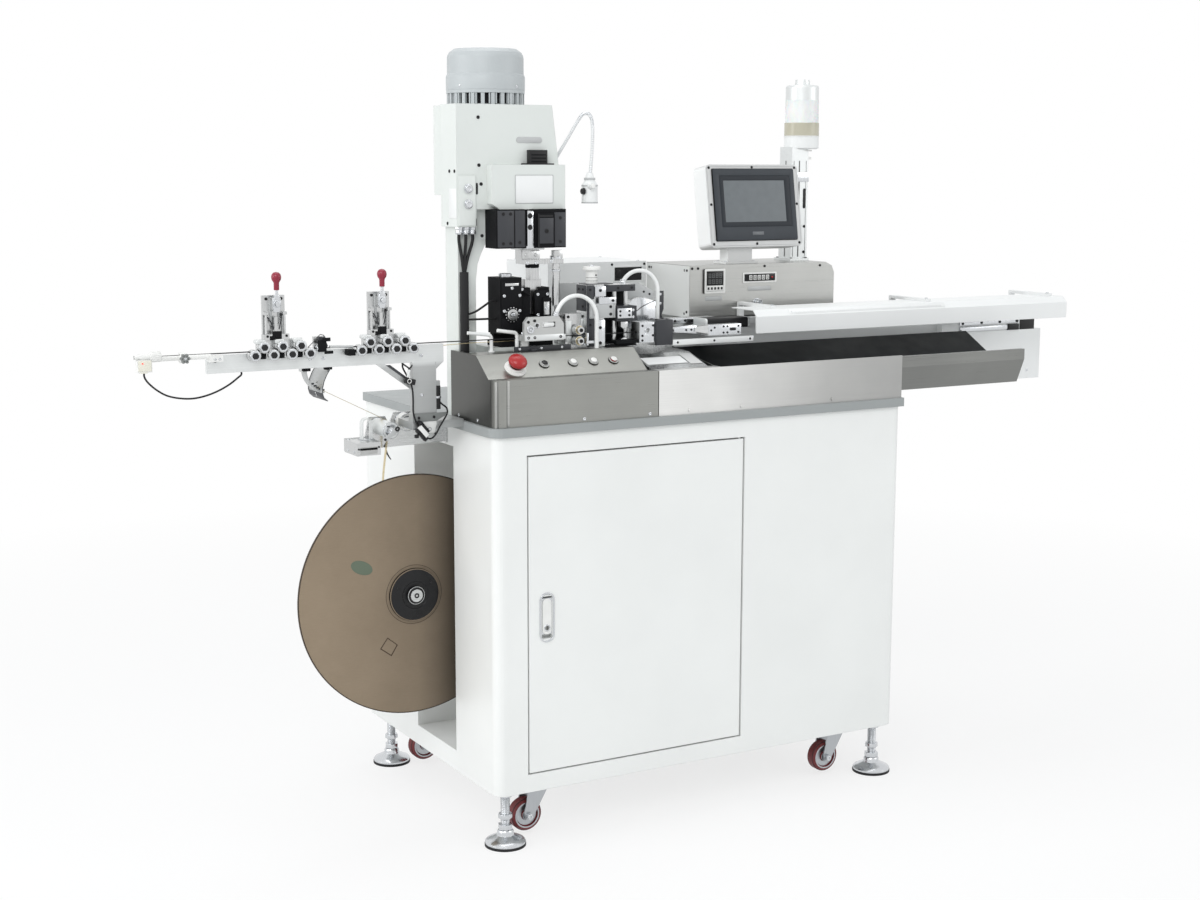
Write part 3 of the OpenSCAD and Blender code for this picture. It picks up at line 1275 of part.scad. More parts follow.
module electrics_plate() place() color("lightgray") {
    z0 = body_z0 + 90;
    y1 = cab_d - 60;
    x0 = niche_d + 38;
    x1 = cab_w - 40;
    block(x0, x1, y1, y1 + 3, z0, z0 + 480);
    for (x = [x0 + 10, x1 - 30]) block(x, x + 20, y1 + 3, cab_d - sheet_t, z0 + 20, z0 + 460);
    // Drive units, power supply, transformer, terminal rail and air valves
    for (i = [0:2]) block(x0 + 30 + i * 75, x0 + 90 + i * 75, y1 - 110, y1, z0 + 300, z0 + 440);
    block(x0 + 280, x0 + 380, y1 - 50, y1, z0 + 310, z0 + 430);
    block(x0 + 30, x0 + 370, y1 - 40, y1, z0 + 190, z0 + 230);
    block(x0 + 420, x0 + 550, y1 - 100, y1, z0 + 30, z0 + 140);
    for (i = [0:4]) block(x0 + 420 + i * 26, x0 + 442 + i * 26, y1 - 70, y1, z0 + 280, z0 + 340);
}

module work_lamp() place() color("whitesmoke") {
    z0 = press_top_z - 180;
    swept_tube([for (p = [[209.7, 175, 80], [215, 174, 81], [224, 168, 98], [236, 160, 122],
        [249, 152, 148], [259, 147, 164], [268, 143, 166], [274, 140, 158], [276, 138, 140],
        [275, 137, 110], [272, 136, 76], [269, 135, 54]]) p + [0, 0, z0]], 3, 8);
    translate([268, 135, z0]) rotate_extrude() polygon([
        [0, 0], [15, 0], [15, 34], [9, 44], [6, 56], [0, 56]]);
    rod_y(112, 122, 262, z0 + 32, 6);
}

cabinet_shell();
caster_plates();
level_feet();
table_plate();
control_hood();
front_panel();
press_frame();
power_box();
press_motor();
slide_guide();
applicator_body();
guide_arm();
straighteners();
wire_inlet();
reel_stand();
instrument_housing();
display_units();
hmi_housing();
oil_bottle();
long_cover();
trough();
gantry_beam();
rear_cover();
cutter_frame();
electrics_plate();
work_lamp();
feed_wire();
terminal_strip();
cables();
air_hoses();
caster_fork(caster_places[0]);  // caster_fork_1
caster_fork(caster_places[1]);  // caster_fork_2
caster_fork(caster_places[2]);  // caster_fork_3
caster_fork(caster_places[3]);  // caster_fork_4
caster_wheel(caster_places[0]);  // caster_wheel_1
caster_wheel(caster_places[1]);  // caster_wheel_2
caster_wheel(caster_places[2]);  // caster_wheel_3
caster_wheel(caster_places[3]);  // caster_wheel_4
door();
door_handle();
reel();
strip_roller(roller_a, roller_a_r, 150);  // strip_roller_1
strip_roller(roller_b, roller_b_r, 193);  // strip_roller_2
clamp_lever(0);  // clamp_lever_1
clamp_lever(1);  // clamp_lever_2
roller_block(0);  // roller_block_1
roller_block(1);  // roller_block_2
press_ram();
estop_button();
push_button(0);  // button_1
push_button(1);  // button_2
push_button(2);  // button_3
push_button(3);  // button_4
selector_knob();
blade_upper();
blade_lower();
feed_wheel(1);  // feed_wheel_upper
feed_wheel(-1);  // feed_wheel_lower
swing_arm();
gripper();
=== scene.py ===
"""Looks of a wire stripping and crimping machine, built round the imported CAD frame."""
import math

import bmesh
import bpy
from mathutils import Matrix, Vector


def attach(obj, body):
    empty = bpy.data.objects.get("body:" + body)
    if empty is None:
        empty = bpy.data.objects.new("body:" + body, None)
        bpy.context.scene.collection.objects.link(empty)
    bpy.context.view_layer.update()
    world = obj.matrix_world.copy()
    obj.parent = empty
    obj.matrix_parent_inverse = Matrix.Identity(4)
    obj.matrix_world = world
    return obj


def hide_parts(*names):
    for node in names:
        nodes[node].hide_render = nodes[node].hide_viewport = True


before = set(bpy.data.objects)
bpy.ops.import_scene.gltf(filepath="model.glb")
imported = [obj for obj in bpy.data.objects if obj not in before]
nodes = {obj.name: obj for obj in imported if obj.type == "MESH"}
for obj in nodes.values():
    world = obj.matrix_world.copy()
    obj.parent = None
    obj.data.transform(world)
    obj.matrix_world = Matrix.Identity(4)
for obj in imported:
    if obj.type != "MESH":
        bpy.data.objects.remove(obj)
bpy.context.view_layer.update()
bpy.context.scene.view_settings.view_transform = "Standard"

# Places are written in millimetres from the cabinet's front left corner, as in the source
MID_X = 433.0
MID_Y = 302.0
MACHINE = "machine"


def at(x, y, z):
    return Vector(((x - MID_X) / 1000, (y - MID_Y) / 1000, z / 1000))


# Camera, solved from the cabinet's edges in the photograph

YAW, PITCH, ROLL = (math.radians(angle) for angle in (29.489, -9.082, 0.12))
CAMERA_PLACE = at(-1389.9, -2838.2, 1259.3)
LENS = 53.757


def set_camera():
    forward = Vector((math.sin(YAW) * math.cos(PITCH), math.cos(YAW) * math.cos(PITCH), math.sin(PITCH)))
    right = Vector((math.cos(YAW), -math.sin(YAW), 0))
    up = right.cross(forward)
    turned_right = math.cos(ROLL) * right + math.sin(ROLL) * up
    turned_up = -math.sin(ROLL) * right + math.cos(ROLL) * up
    data = bpy.data.cameras.new("camera")
    data.sensor_width = 36
    data.lens = LENS
    data.clip_end = 60
    camera = bpy.data.objects.new("camera", data)
    bpy.context.collection.objects.link(camera)
    rows = [(turned_right[i], turned_up[i], -forward[i], CAMERA_PLACE[i]) for i in range(3)]
    camera.matrix_world = Matrix(rows + [(0, 0, 0, 1)])
    bpy.context.scene.camera = camera


# Materials

SHARP_EDGE = 0.0008
SOFT_EDGE = 0.0012
EDGE_SAMPLES = 4
LOW_SHINE = 0.25


def new_material(name):
    material = bpy.data.materials.new(name)
    material.use_nodes = True
    tree = material.node_tree
    return material, tree, tree.nodes["Principled BSDF"]


def fill(tree, target, inputs):
    """Sets the inputs of a shader node to values, or links them to sockets."""
    for key, value in inputs.items():
        if isinstance(value, bpy.types.NodeSocket):
            tree.links.new(value, target.inputs[key])
        else:
            target.inputs[key].default_value = value


def new_node(tree, kind, inputs):
    made = tree.nodes.new("ShaderNode" + kind)
    fill(tree, made, inputs)
    return made


def add_node(tree, kind, inputs, output=0):
    """A new shader node with its inputs; gives back one of its outputs."""
    return new_node(tree, kind, inputs).outputs[output]


def math_node(tree, kind, operation, inputs, output=0):
    made = new_node(tree, kind, inputs)
    made.operation = operation
    return made.outputs[output]


def coordinates(tree, scale=(1, 1, 1)):
    position = add_node(tree, "NewGeometry", {}, "Position")
    return add_node(tree, "Mapping", {"Scale": scale, "Vector": position})


def noise(tree, vector, scale, detail=3.0, rough=0.5):
    inputs = {"Scale": scale, "Detail": detail, "Roughness": rough, "Vector": vector}
    return add_node(tree, "TexNoise", inputs, "Fac")


def ramp(tree, value, stops):
    made = tree.nodes.new("ShaderNodeValToRGB")
    elements = made.color_ramp.elements
    while len(elements) < len(stops):
        elements.new(0.5)
    for element, (place, color) in zip(elements, stops):
        element.position = place
        element.color = (*color, 1)
    fill(tree, made, {"Fac": value})
    return made.outputs["Color"]


def remap(tree, value, low, high, first=0.3, last=0.7):
    inputs = {"From Min": first, "From Max": last, "To Min": low, "To Max": high, "Value": value}
    return add_node(tree, "MapRange", inputs, "Result")


def multiplied(tree, color, other, factor=1):
    made = tree.nodes.new("ShaderNodeMix")
    made.data_type = "RGBA"
    made.blend_type = "MULTIPLY"
    fill(tree, made, {"Factor": factor, "A": color, "B": other})
    return made.outputs["Result"]


def bump(tree, height, strength, distance, edge=0.0):
    """A bumpy normal, over rounded edges when a width is given."""
    inputs = {"Strength": strength, "Distance": distance, "Height": height}
    if edge:
        rounding = new_node(tree, "Bevel", {"Radius": edge})
        rounding.samples = EDGE_SAMPLES
        inputs["Normal"] = rounding.outputs[0]
    return add_node(tree, "Bump", inputs)


def scaled(color, factor):
    return tuple(min(1.0, c * factor) for c in color)


def faded(tree, color, value, places):
    """Makes a colour darker along a value: (place, factor) pairs."""
    first = places[0][0]
    last = places[-1][0]
    stops = [((place - first) / (last - first), (factor, factor, factor)) for place, factor in places]
    return multiplied(tree, color, ramp(tree, remap(tree, value, 0, 1, first, last), stops))


def geometry_axis(tree, output, axis):
    source = add_node(tree, "NewGeometry", {}, output)
    return add_node(tree, "SeparateXYZ", {"Vector": source}, axis)


def painted(name, color, rough=0.38, dirt=0.035, grain=900, shine=0.5, side=None):
    """Sprayed or powder-coated metal: faint unevenness, orange peel and soft edges."""
    material, tree, shader = new_material(name)
    vector = coordinates(tree)
    shade = ramp(tree, noise(tree, vector, 5, 4), [(0.35, scaled(color, 1 - dirt)), (0.65, color)])
    # side darkens faces by which way they face: painted light and shade.
    if side:
        shade = faded(tree, shade, geometry_axis(tree, "Normal", "X"), side)
    fill(tree, shader, {
        "Base Color": shade,
        "Roughness": remap(tree, noise(tree, vector, 30, 3), rough - 0.05, rough + 0.07),
        "Normal": bump(tree, noise(tree, vector, grain, 2), 0.06, 0.0004, SOFT_EDGE),
        "Specular IOR Level": shine})
    return material


def brushed(name, color, rough=0.3, along="x", streak=0.12, metallic=1.0, fade=None, side=None,
            fade_axis="X"):
    """Sheet or machined metal with fine streaks along one axis."""
    material, tree, shader = new_material(name)
    fine = noise(tree, coordinates(tree, {"x": (4, 420, 420), "z": (420, 420, 4)}[along]), 1.6, 4, 0.6)
    broad = noise(tree, coordinates(tree), 9, 4)
    tint = ramp(tree, fine, [(0.3, scaled(color, 1 - streak)), (0.7, scaled(color, 1 + streak * 0.5))])
    shade = multiplied(tree, tint, ramp(tree, broad, [(0.3, (0.82, 0.82, 0.83)), (0.7, (1, 1, 1))]), 0.5)
    if fade:
        shade = faded(tree, shade, geometry_axis(tree, "Position", fade_axis), fade)
    # side darkens faces by which way they face: painted shade.
    if side:
        shade = faded(tree, shade, geometry_axis(tree, "Normal", "X"), side)
    fill(tree, shader, {
        "Base Color": shade,
        "Roughness": remap(tree, fine, rough - 0.07, rough + 0.1),
        "Metallic": metallic,
        "Normal": bump(tree, fine, 0.12, 0.0002, SHARP_EDGE)})
    return material


def moulded(name, color, rough=0.45, grain=1400, depth=0.08, speck=0.06, shine=0.5):
    """Plastic or rubber with a fine moulded grain."""
    material, tree, shader = new_material(name)
    vector = coordinates(tree)
    fine = noise(tree, vector, grain, 2)
    stops = [(0.3, scaled(color, 1 - speck)), (0.7, scaled(color, 1 + speck))]
    fill(tree, shader, {
        "Base Color": ramp(tree, noise(tree, vector, 25, 3), stops),
        "Roughness": remap(tree, fine, rough - 0.06, rough + 0.08),
        "Normal": bump(tree, fine, depth, 0.0003, SHARP_EDGE),
        "Specular IOR Level": shine})
    return material


def board(name, color, dark):
    """Brown fibre board with mottling and fine fibres, with painted shade darkening it towards the cabinet.
    """
    material, tree, shader = new_material(name)
    broad = noise(tree, coordinates(tree), 7, 6, 0.65)
    fibre = noise(tree, coordinates(tree, (60, 60, 900)), 1.0, 5, 0.7)
    mottled = multiplied(tree, ramp(tree, broad, [(0.3, dark), (0.7, color)]),
                         ramp(tree, fibre, [(0.25, (0.86, 0.84, 0.8)), (0.75, (1, 1, 1))]), 0.6)
    # Painted shade: the board is darkened towards the cabinet, whose corner shades the reel.
    painted_cabinet_shade = [(-0.74, 0.96), (-0.60, 0.86), (-0.50, 0.68), (-0.45, 0.38), (-0.42, 0.25)]
    fill(tree, shader, {
        "Base Color": faded(tree, mottled, geometry_axis(tree, "Position", "X"), painted_cabinet_shade),
        "Roughness": 0.82,
        "Normal": bump(tree, fibre, 0.25, 0.0004)})
    return material


def clear_plastic(name, color, alpha):
    """Milky plastic that lets some light through."""
    material, tree, shader = new_material(name)
    vector = coordinates(tree)
    cloud = noise(tree, vector, 40, 3)
    fill(tree, shader, {
        "Base Color": ramp(tree, cloud, [(0.3, scaled(color, 0.93)), (0.7, color)]),
        "Roughness": remap(tree, cloud, 0.25, 0.4),
        "Alpha": alpha,
        "Subsurface Weight": 0.2,
        "Normal": bump(tree, noise(tree, vector, 500, 2), 0.05, 0.0003)})
    return material


def glowing(name, color, strength):
    """A lit display, lens or lamp."""
    material, tree, shader = new_material(name)
    cloud = noise(tree, coordinates(tree), 60, 2)
    fill(tree, shader, {
        "Base Color": ramp(tree, cloud, [(0.3, scaled(color, 0.9)), (0.7, color)]),
        "Emission Color": (*color, 1),
        "Emission Strength": strength,
        "Roughness": 0.25})
    return material


MATERIALS = {
    "white": painted("white_paint", (0.85, 0.86, 0.845), 0.36),
    "press": painted("press_paint", (0.72, 0.75, 0.725), 0.34),
    "cover": painted("cover_paint", (0.84, 0.85, 0.845), 0.4),
    "motor": painted("motor_paint", (0.47, 0.50, 0.51), 0.4, 0.06, 600),
    "table": painted("table_paint", (0.33, 0.35, 0.35), 0.42, 0.06, 500),
    "stainless": brushed("stainless", (0.46, 0.465, 0.45), 0.34, "x", 0.05),
    # The hood's left-facing sides are darkened as painted shade.
    "hood": brushed("hood_steel", (0.355, 0.36, 0.34), 0.34, "x", 0.05,
                    side=[(-1, 0.3), (-0.6, 0.9), (1, 1)]),
    # The front panel is light at its left end and darker to the right: a painted reflection.
    "stainless_front": brushed("stainless_front", (0.80, 0.805, 0.79), 0.36, "x", 0.04,
                               fade=[(-0.10, 1), (0.05, 0.9), (0.3, 0.55), (0.48, 0.5)]),
    "stainless_dark": brushed("stainless_dark", (0.24, 0.245, 0.235), 0.34, "x", 0.06),
    "steel": brushed("machined_steel", (0.62, 0.63, 0.63), 0.26, "z", 0.1),
    "steel_x": brushed("machined_steel_x", (0.62, 0.63, 0.63), 0.26, "x", 0.1),
    "zinc": brushed("zinc_plate", (0.66, 0.68, 0.70), 0.2, "z", 0.05),
    "aluminium": brushed("aluminium", (0.76, 0.78, 0.775), 0.38, "x", 0.04, 0.6),
    "dark": painted("dark_steel", (0.0095, 0.0098, 0.011), 0.6, 0.2, 700, 0.1),
    "black": moulded("black_plastic", (0.018, 0.018, 0.019), 0.45, shine=LOW_SHINE),
    "black_gloss": moulded("black_gloss", (0.012, 0.012, 0.013), 0.2, depth=0.02, shine=LOW_SHINE),
    "plastic": moulded("white_plastic", (0.80, 0.80, 0.78), 0.42),
    "cream": moulded("cream_plastic", (0.78, 0.76, 0.66), 0.45),
    "red": moulded("red_plastic", (0.40, 0.016, 0.018), 0.25, depth=0.03),
    "tyre": moulded("caster_tyre", (0.16, 0.02, 0.022), 0.5),
    "tyre_edge": moulded("tyre_edge", (0.05, 0.012, 0.013), 0.5),
    "guide_dark": painted("guide_dark", (0.044, 0.046, 0.052), 0.44, 0.15, 700, 0.35),
    "fork": brushed("fork_zinc", (0.50, 0.52, 0.54), 0.34, "z", 0.06),
    "board": board("reel_board", (0.335, 0.262, 0.185), (0.285, 0.22, 0.152)),
    "board_edge": board("board_edge", (0.075, 0.055, 0.04), (0.05, 0.038, 0.028)),
    "brass": brushed("strip_brass", (0.70, 0.60, 0.38), 0.3, "x", 0.1),
    "rubber": moulded("cable_rubber", (0.016, 0.016, 0.017), 0.55, shine=LOW_SHINE),
    "hose": moulded("white_hose", (0.83, 0.84, 0.83), 0.35, depth=0.04),
    "bottle": clear_plastic("bottle_plastic", (0.95, 0.955, 0.94), 0.82),
    "screen": glowing("screen_glass", (0.09, 0.105, 0.115), 0.16),
    "digit_red": glowing("digit_red", (0.85, 0.05, 0.03), 1.2),
    "mark": painted("grey_mark", (0.10, 0.10, 0.10), 0.5),
    # Left-facing faces are kept light and all others darkened: painted light and shade.
    "panel_grey": painted("panel_grey", (0.97, 0.975, 0.965), 0.38, side=[(-1, 1), (-0.7, 0.65), (1, 0.65)]),
    "plate": painted("bare_plate", (0.50, 0.51, 0.51), 0.35),
    # Near-black painted shade for the inside of the trough.
    "trough_shade": painted("trough_inside_shade", (0.016, 0.018, 0.019), 0.5, 0.2, 700, 0.15),
    "green_mark": painted("green_mark", (0.115, 0.15, 0.105), 0.5),
    "green_plug": moulded("green_plug", (0.05, 0.28, 0.09), 0.4),
    "copper": brushed("copper_winding", (0.60, 0.30, 0.16), 0.3, "z", 0.2),
    "housing_side_grey": painted("housing_side_grey", (0.66, 0.67, 0.655), 0.38),
    "stamp": painted("stamp_ink", (0.05, 0.026, 0.014), 0.6),
    "arm_metal": brushed("arm_metal", (0.76, 0.78, 0.775), 0.38, "x", 0.04, 0.6, fade_axis="Z",
                         fade=[(0.80, 0.6), (0.897, 0.66), (0.906, 1), (1, 1)]),
    "swing_metal": brushed("swing_metal", (0.56, 0.57, 0.56), 0.36, "x", 0.04, 0.6),
    "felt": moulded("felt", (0.42, 0.42, 0.41), 0.9, 260, 0.4, 0.15),
    "grey_paint": painted("grey_paint", (0.21, 0.22, 0.215), 0.4),
    "bezel": moulded("panel_bezel", (0.044, 0.050, 0.058), 0.45, shine=LOW_SHINE),
    "bezel_dark": moulded("panel_inner", (0.020, 0.024, 0.030), 0.45, shine=LOW_SHINE),
    "bezel_mark": moulded("panel_mark", (0.13, 0.14, 0.15), 0.4),
    "display_grey": glowing("display_grey", (0.16, 0.17, 0.17), 0.12),
    "oil": moulded("machine_oil", (0.50, 0.475, 0.375), 0.2, depth=0.01),
    "lamp_lens": glowing("lamp_lens", (0.85, 0.85, 0.80), 0.3),
    "grip_red": moulded("grip_red", (0.26, 0.012, 0.035), 0.3, depth=0.03),
}

NODES_OF_MATERIAL = {
    "white": ["cabinet_shell", "door"],
    "zinc": ["caster_plates", "level_feet", "electrics_plate", "door_handle", "clamp_lever_1",
             "clamp_lever_2", "selector_knob"],
    "table": ["table_plate"],
    "hood": ["control_hood"],
    "stainless_front": ["front_panel"],
    "press": ["press_frame", "power_box"],
    "motor": ["press_motor"],
    "dark": ["slide_guide", "applicator_body", "blade_lower"],
    "arm_metal": ["guide_arm"],
    "steel": ["straighteners", "cutter_frame", "roller_block_1", "roller_block_2", "press_ram",
              "feed_wheel_upper", "feed_wheel_lower"],
    "plastic": ["wire_inlet", "strip_roller_2", "button_1", "button_2", "button_3"],
    "steel_x": ["reel_stand", "gripper"],
    "stainless": ["instrument_housing"],
    "black": ["display_units"],
    "panel_grey": ["hmi_housing"],
    "aluminium": ["oil_bottle", "strip_roller_1"],
    "cover": ["long_cover", "gantry_beam", "rear_cover", "work_lamp"],
    "stainless_dark": ["trough"],
    "rubber": ["feed_wire", "cables"],
    "brass": ["terminal_strip"],
    "hose": ["air_hoses"],
    "board": ["reel"],
    "red": ["estop_button", "button_4"],
    "guide_dark": ["blade_upper"],
    "swing_metal": ["swing_arm"],
    "fork": ["caster_fork_%d" % number for number in range(1, 5)],
    "tyre": ["caster_wheel_%d" % number for number in range(1, 5)],
}
for key, node_names in NODES_OF_MATERIAL.items():
    for node_name in node_names:
        nodes[node_name].data.materials.clear()
        nodes[node_name].data.materials.append(MATERIALS[key])


# Mesh helpers

DEFAULT = Matrix.Translation(at(0, 0, 0))
DIRECTIONS = {"front": (0, -1, 0), "back": (0, 1, 0), "left": (-1, 0, 0), "right": (1, 0, 0),
              "up": (0, 0, 1), "down": (0, 0, -1)}
PLANES = {"xz": lambda a, b, c: (a, c, b), "yz": lambda a, b, c: (c, a, b), "xy": lambda a, b, c: (a, b, c)}
SHARP_ANGLE = math.radians(35)
FORMS = []


def turned(x, y, z, degrees, axis="Y"):
    """A placing for a piece that is tilted about a point of the machine."""
    place = Matrix.Translation(Vector((x, y, z)) / 1000)
    return DEFAULT @ place @ Matrix.Rotation(math.radians(degrees), 4, axis)


def axis_matrix(x, y, z, direction):
    if isinstance(direction, str):
        direction = DIRECTIONS[direction]
    direction = Vector(direction).normalized()
    turn = direction.to_track_quat("Z", "Y").to_matrix().to_4x4()
    return Matrix.Translation(Vector((x, y, z)) / 1000) @ turn


def turn_angles(sides):
    return [math.tau * i / sides for i in range(sides)]


def circle_of_vertices(part, radius, height, angles):
    return [part.verts.new((radius * math.cos(a) / 1000, radius * math.sin(a) / 1000, height / 1000))
            for a in angles]


def skin(part, rings):
    """Faces between neighbouring rings with the same number of vertices."""
    for lower, upper in zip(rings, rings[1:]):
        for i in range(len(lower)):
            j = (i + 1) % len(lower)
            part.faces.new((lower[i], lower[j], upper[j], upper[i]))


def round_edges(part, edges, width, segments=2):
    bmesh.ops.bevel(part, geom=edges, offset=width / 1000, segments=segments, affect="EDGES", profile=0.5)


def corner_edges(part, angle):
    return [edge for edge in part.edges if len(edge.link_faces) == 2 and edge.calc_face_angle(0) > angle]


def outward(part):
    bmesh.ops.recalc_face_normals(part, faces=part.faces[:])


class Form:
    """Several closed shapes gathered into one piece, written in millimetres."""

    def __init__(self, name, material, body=MACHINE, placing=DEFAULT):
        self.name = name
        self.material = material
        self.body = body
        self.placing = placing
        self.data = bmesh.new()
        FORMS.append(self)

    def add(self, part, matrix=None):
        mesh = bpy.data.meshes.new("part")
        if matrix is not None:
            part.transform(matrix)
        part.to_mesh(mesh)
        part.free()
        self.data.from_mesh(mesh)
        bpy.data.meshes.remove(mesh)
        return self

    def box(self, x0, x1, y0, y1, z0, z1, bevel=0.5):
        part = bmesh.new()
        bmesh.ops.create_cube(part, size=1)
        low = (x0, y0, z0)
        high = (x1, y1, z1)
        for vertex in part.verts:
            vertex.co = Vector([(low[i] + (vertex.co[i] + 0.5) * (high[i] - low[i])) / 1000
                                for i in range(3)])
        if bevel:
            round_edges(part, part.edges[:], bevel)
        return self.add(part)

    def lathe(self, profile, x, y, z, direction, sides=32):
        """A turned form: (radius, height) pairs from the given point along a direction."""
        part = bmesh.new()
        angles = turn_angles(sides)
        rings = [circle_of_vertices(part, radius, height, angles if radius > 1e-6 else [0])
                 for radius, height in profile]
        for lower, upper in zip(rings, rings[1:]):
            if len(lower) > 1 and len(upper) > 1:
                skin(part, [lower, upper])
            elif len(lower) > 1 or len(upper) > 1:
                for i in range(sides):
                    j = (i + 1) % sides
                    if len(lower) == 1:
                        part.faces.new((lower[0], upper[j], upper[i]))
                    else:
                        part.faces.new((lower[i], lower[j], upper[0]))
        for ring in (rings[0], rings[-1]):
            if len(ring) > 1:
                part.faces.new(ring)
        outward(part)
        return self.add(part, axis_matrix(x, y, z, direction))

    def disc(self, x, y, z, direction, radius, height, bevel=0.5, sides=32):
        b = min(bevel, height * 0.45, radius * 0.4)
        return self.lathe([(0, 0), (radius - b * 0.5, 0), (radius, b * 0.5), (radius, height - b),
                           (radius - b, height), (0, height)], x, y, z, direction, sides)

    def ring(self, x, y, z, direction, inner, outer, height, bevel=0.4, sides=36):
        b = min(bevel, height * 0.4, (outer - inner) * 0.4)
        profile = [(inner, 0), (outer, 0), (outer, height - b), (outer - b, height),
                   (inner + b, height), (inner, height - b)]
        part = bmesh.new()
        rings = [circle_of_vertices(part, radius, level, turn_angles(sides)) for radius, level in profile]
        skin(part, rings + rings[:1])
        outward(part)
        return self.add(part, axis_matrix(x, y, z, direction))

    def screw(self, x, y, z, radius, height, direction="front", sides=18):
        """A cap screw with a hexagon socket, its head standing on the point."""
        part = bmesh.new()
        angles = turn_angles(sides)
        rings = [circle_of_vertices(part, r, h, angles)
                 for r, h in ((radius, 0), (radius, height * 0.8), (radius * 0.85, height))]
        flat = radius * 0.5 * math.cos(math.pi / 6)
        for h in (height, height * 0.3):
            rings.append([])
            for a in angles:
                r = flat / math.cos((a % (math.pi / 3)) - math.pi / 6)
                rings[-1] += circle_of_vertices(part, r, h, [a])
        skin(part, rings)
        part.faces.new(rings[-1])
        part.faces.new(list(reversed(rings[0])))
        outward(part)
        return self.add(part, axis_matrix(x, y, z, direction))

    def screws(self, places, radius, height, direction="front"):
        for place in places:
            self.screw(*place, radius, height, direction)
        return self

    def prism(self, outline, plane, low, high, bevel=0.5, segments=2):
        """An outline drawn out square to a plane: xz along Y, yz along X, xy along Z."""
        part = bmesh.new()
        put = PLANES[plane]
        ends = [[part.verts.new(Vector(put(a, b, level)) / 1000) for a, b in outline]
                for level in (low, high)]
        for end in ends:
            part.faces.new(end)
        skin(part, ends)
        outward(part)
        if bevel:
            round_edges(part, corner_edges(part, 0.45), bevel, segments)
        return self.add(part)

    def frame_prism(self, outer, inner, plane, low, high, bevel=0.4):
        """A flat frame between two outlines with the same number of points."""
        part = bmesh.new()
        put = PLANES[plane]
        loops = [[part.verts.new(Vector(put(a, b, level)) / 1000) for a, b in outline]
                 for outline, level in ((outer, low), (outer, high), (inner, high), (inner, low))]
        skin(part, loops + loops[:1])
        outward(part)
        if bevel:
            round_edges(part, corner_edges(part, 0.9), bevel)
        return self.add(part)

    def tube(self, points, radius, sides=12):
        """A round bar bent along points, with one radius or a radius for each point."""
        part = bmesh.new()
        route = [Vector(point) for point in points]
        radii = radius if isinstance(radius, list) else [radius] * len(route)
        side = (route[1] - route[0]).normalized().orthogonal().normalized()
        rings = []
        for i, point in enumerate(route):
            ahead = (route[min(i + 1, len(route) - 1)] - route[max(i - 1, 0)]).normalized()
            side = (side - ahead * side.dot(ahead)).normalized()
            other = ahead.cross(side)
            spokes = [(side * math.cos(a) + other * math.sin(a)) * radii[i] for a in turn_angles(sides)]
            rings.append([part.verts.new((point + spoke) / 1000) for spoke in spokes])
        skin(part, rings)
        part.faces.new(list(reversed(rings[0])))
        part.faces.new(rings[-1])
        outward(part)
        return self.add(part)

    def finish(self):
        """Makes the piece from all its shapes and lets it ride on its body."""
        mesh = bpy.data.meshes.new(self.name)
        self.data.transform(self.placing)
        self.data.to_mesh(mesh)
        self.data.free()
        for polygon in mesh.polygons:
            polygon.use_smooth = True
        mesh.set_sharp_from_angle(angle=SHARP_ANGLE)
        mesh.materials.append(MATERIALS[self.material])
        piece = bpy.data.objects.new(self.name, mesh)
        bpy.context.collection.objects.link(piece)
        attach(piece, self.body)


def arc(x, z, radius, first, last, steps):
    """Points on an arc, from the first angle to the last, in degrees."""
    angles = [math.radians(first + (last - first) * i / steps) for i in range(steps + 1)]
    return [(x + radius * math.cos(a), z + radius * math.sin(a)) for a in angles]


def circle(x, z, radius, count):
    return [(x + radius * math.cos(a), z + radius * math.sin(a)) for a in turn_angles(count)]


def hexagon(radius, x, y, turn=0):
    return arc(x, y, radius, turn, turn + 300, 5)


def rounded(x0, x1, z0, z1, r, steps=5):
    """A rectangle with rounded corners."""
    points = []
    corners = ((x1 - r, z1 - r, 0), (x0 + r, z1 - r, 90), (x0 + r, z0 + r, 180), (x1 - r, z0 + r, 270))
    for cx, cz, first in corners:
        points += arc(cx, cz, r, first, first + 90, steps)
    return points


def grid(xs, ys, zs):
    """Every place with one of the xs, ys and zs; each may be one number."""
    xs, ys, zs = (values if isinstance(values, tuple) else (values,) for values in (xs, ys, zs))
    return [(x, y, z) for z in zs for y in ys for x in xs]


def smooth_route(points, steps=4):
    """A denser route through the same points, by Catmull-Rom."""
    out = []
    pts = [Vector(p) for p in points]
    for i in range(len(pts) - 1):
        a = pts[max(i - 1, 0)]
        b = pts[i]
        c = pts[i + 1]
        d = pts[min(i + 2, len(pts) - 1)]
        for k in range(steps):
            t = k / steps
            out.append(0.5 * ((2 * b) + (c - a) * t + (2 * a - 5 * b + 4 * c - d) * t * t
                              + (3 * b - a - 3 * c + d) * t * t * t))
    out.append(pts[-1])
    return [tuple(p) for p in out]


def cord_piece(name, points, radius, material, node):
    route = smooth_route(points)
    data = bpy.data.curves.new(name, "CURVE")
    data.dimensions = "3D"
    data.bevel_depth = radius / 1000
    data.bevel_resolution = 3
    data.use_fill_caps = True
    spline = data.splines.new("POLY")
    spline.points.add(len(route) - 1)
    for target, point in zip(spline.points, route):
        target.co = (*at(*point), 1)
    data.materials.append(MATERIALS[material])
    piece = bpy.data.objects.new(name, data)
    bpy.context.collection.objects.link(piece)
    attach(piece, MACHINE)
    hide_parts(node)


set_camera()


# Cords: cables and air hoses

def arc_route(x, z, radius, first, last, y0, y1, count):
    """Points on an upright arc that also moves from one depth to another."""
    return [(px, y0 + (y1 - y0) * i / count, pz)
            for i, (px, pz) in enumerate(arc(x, z, radius, first, last, count))]


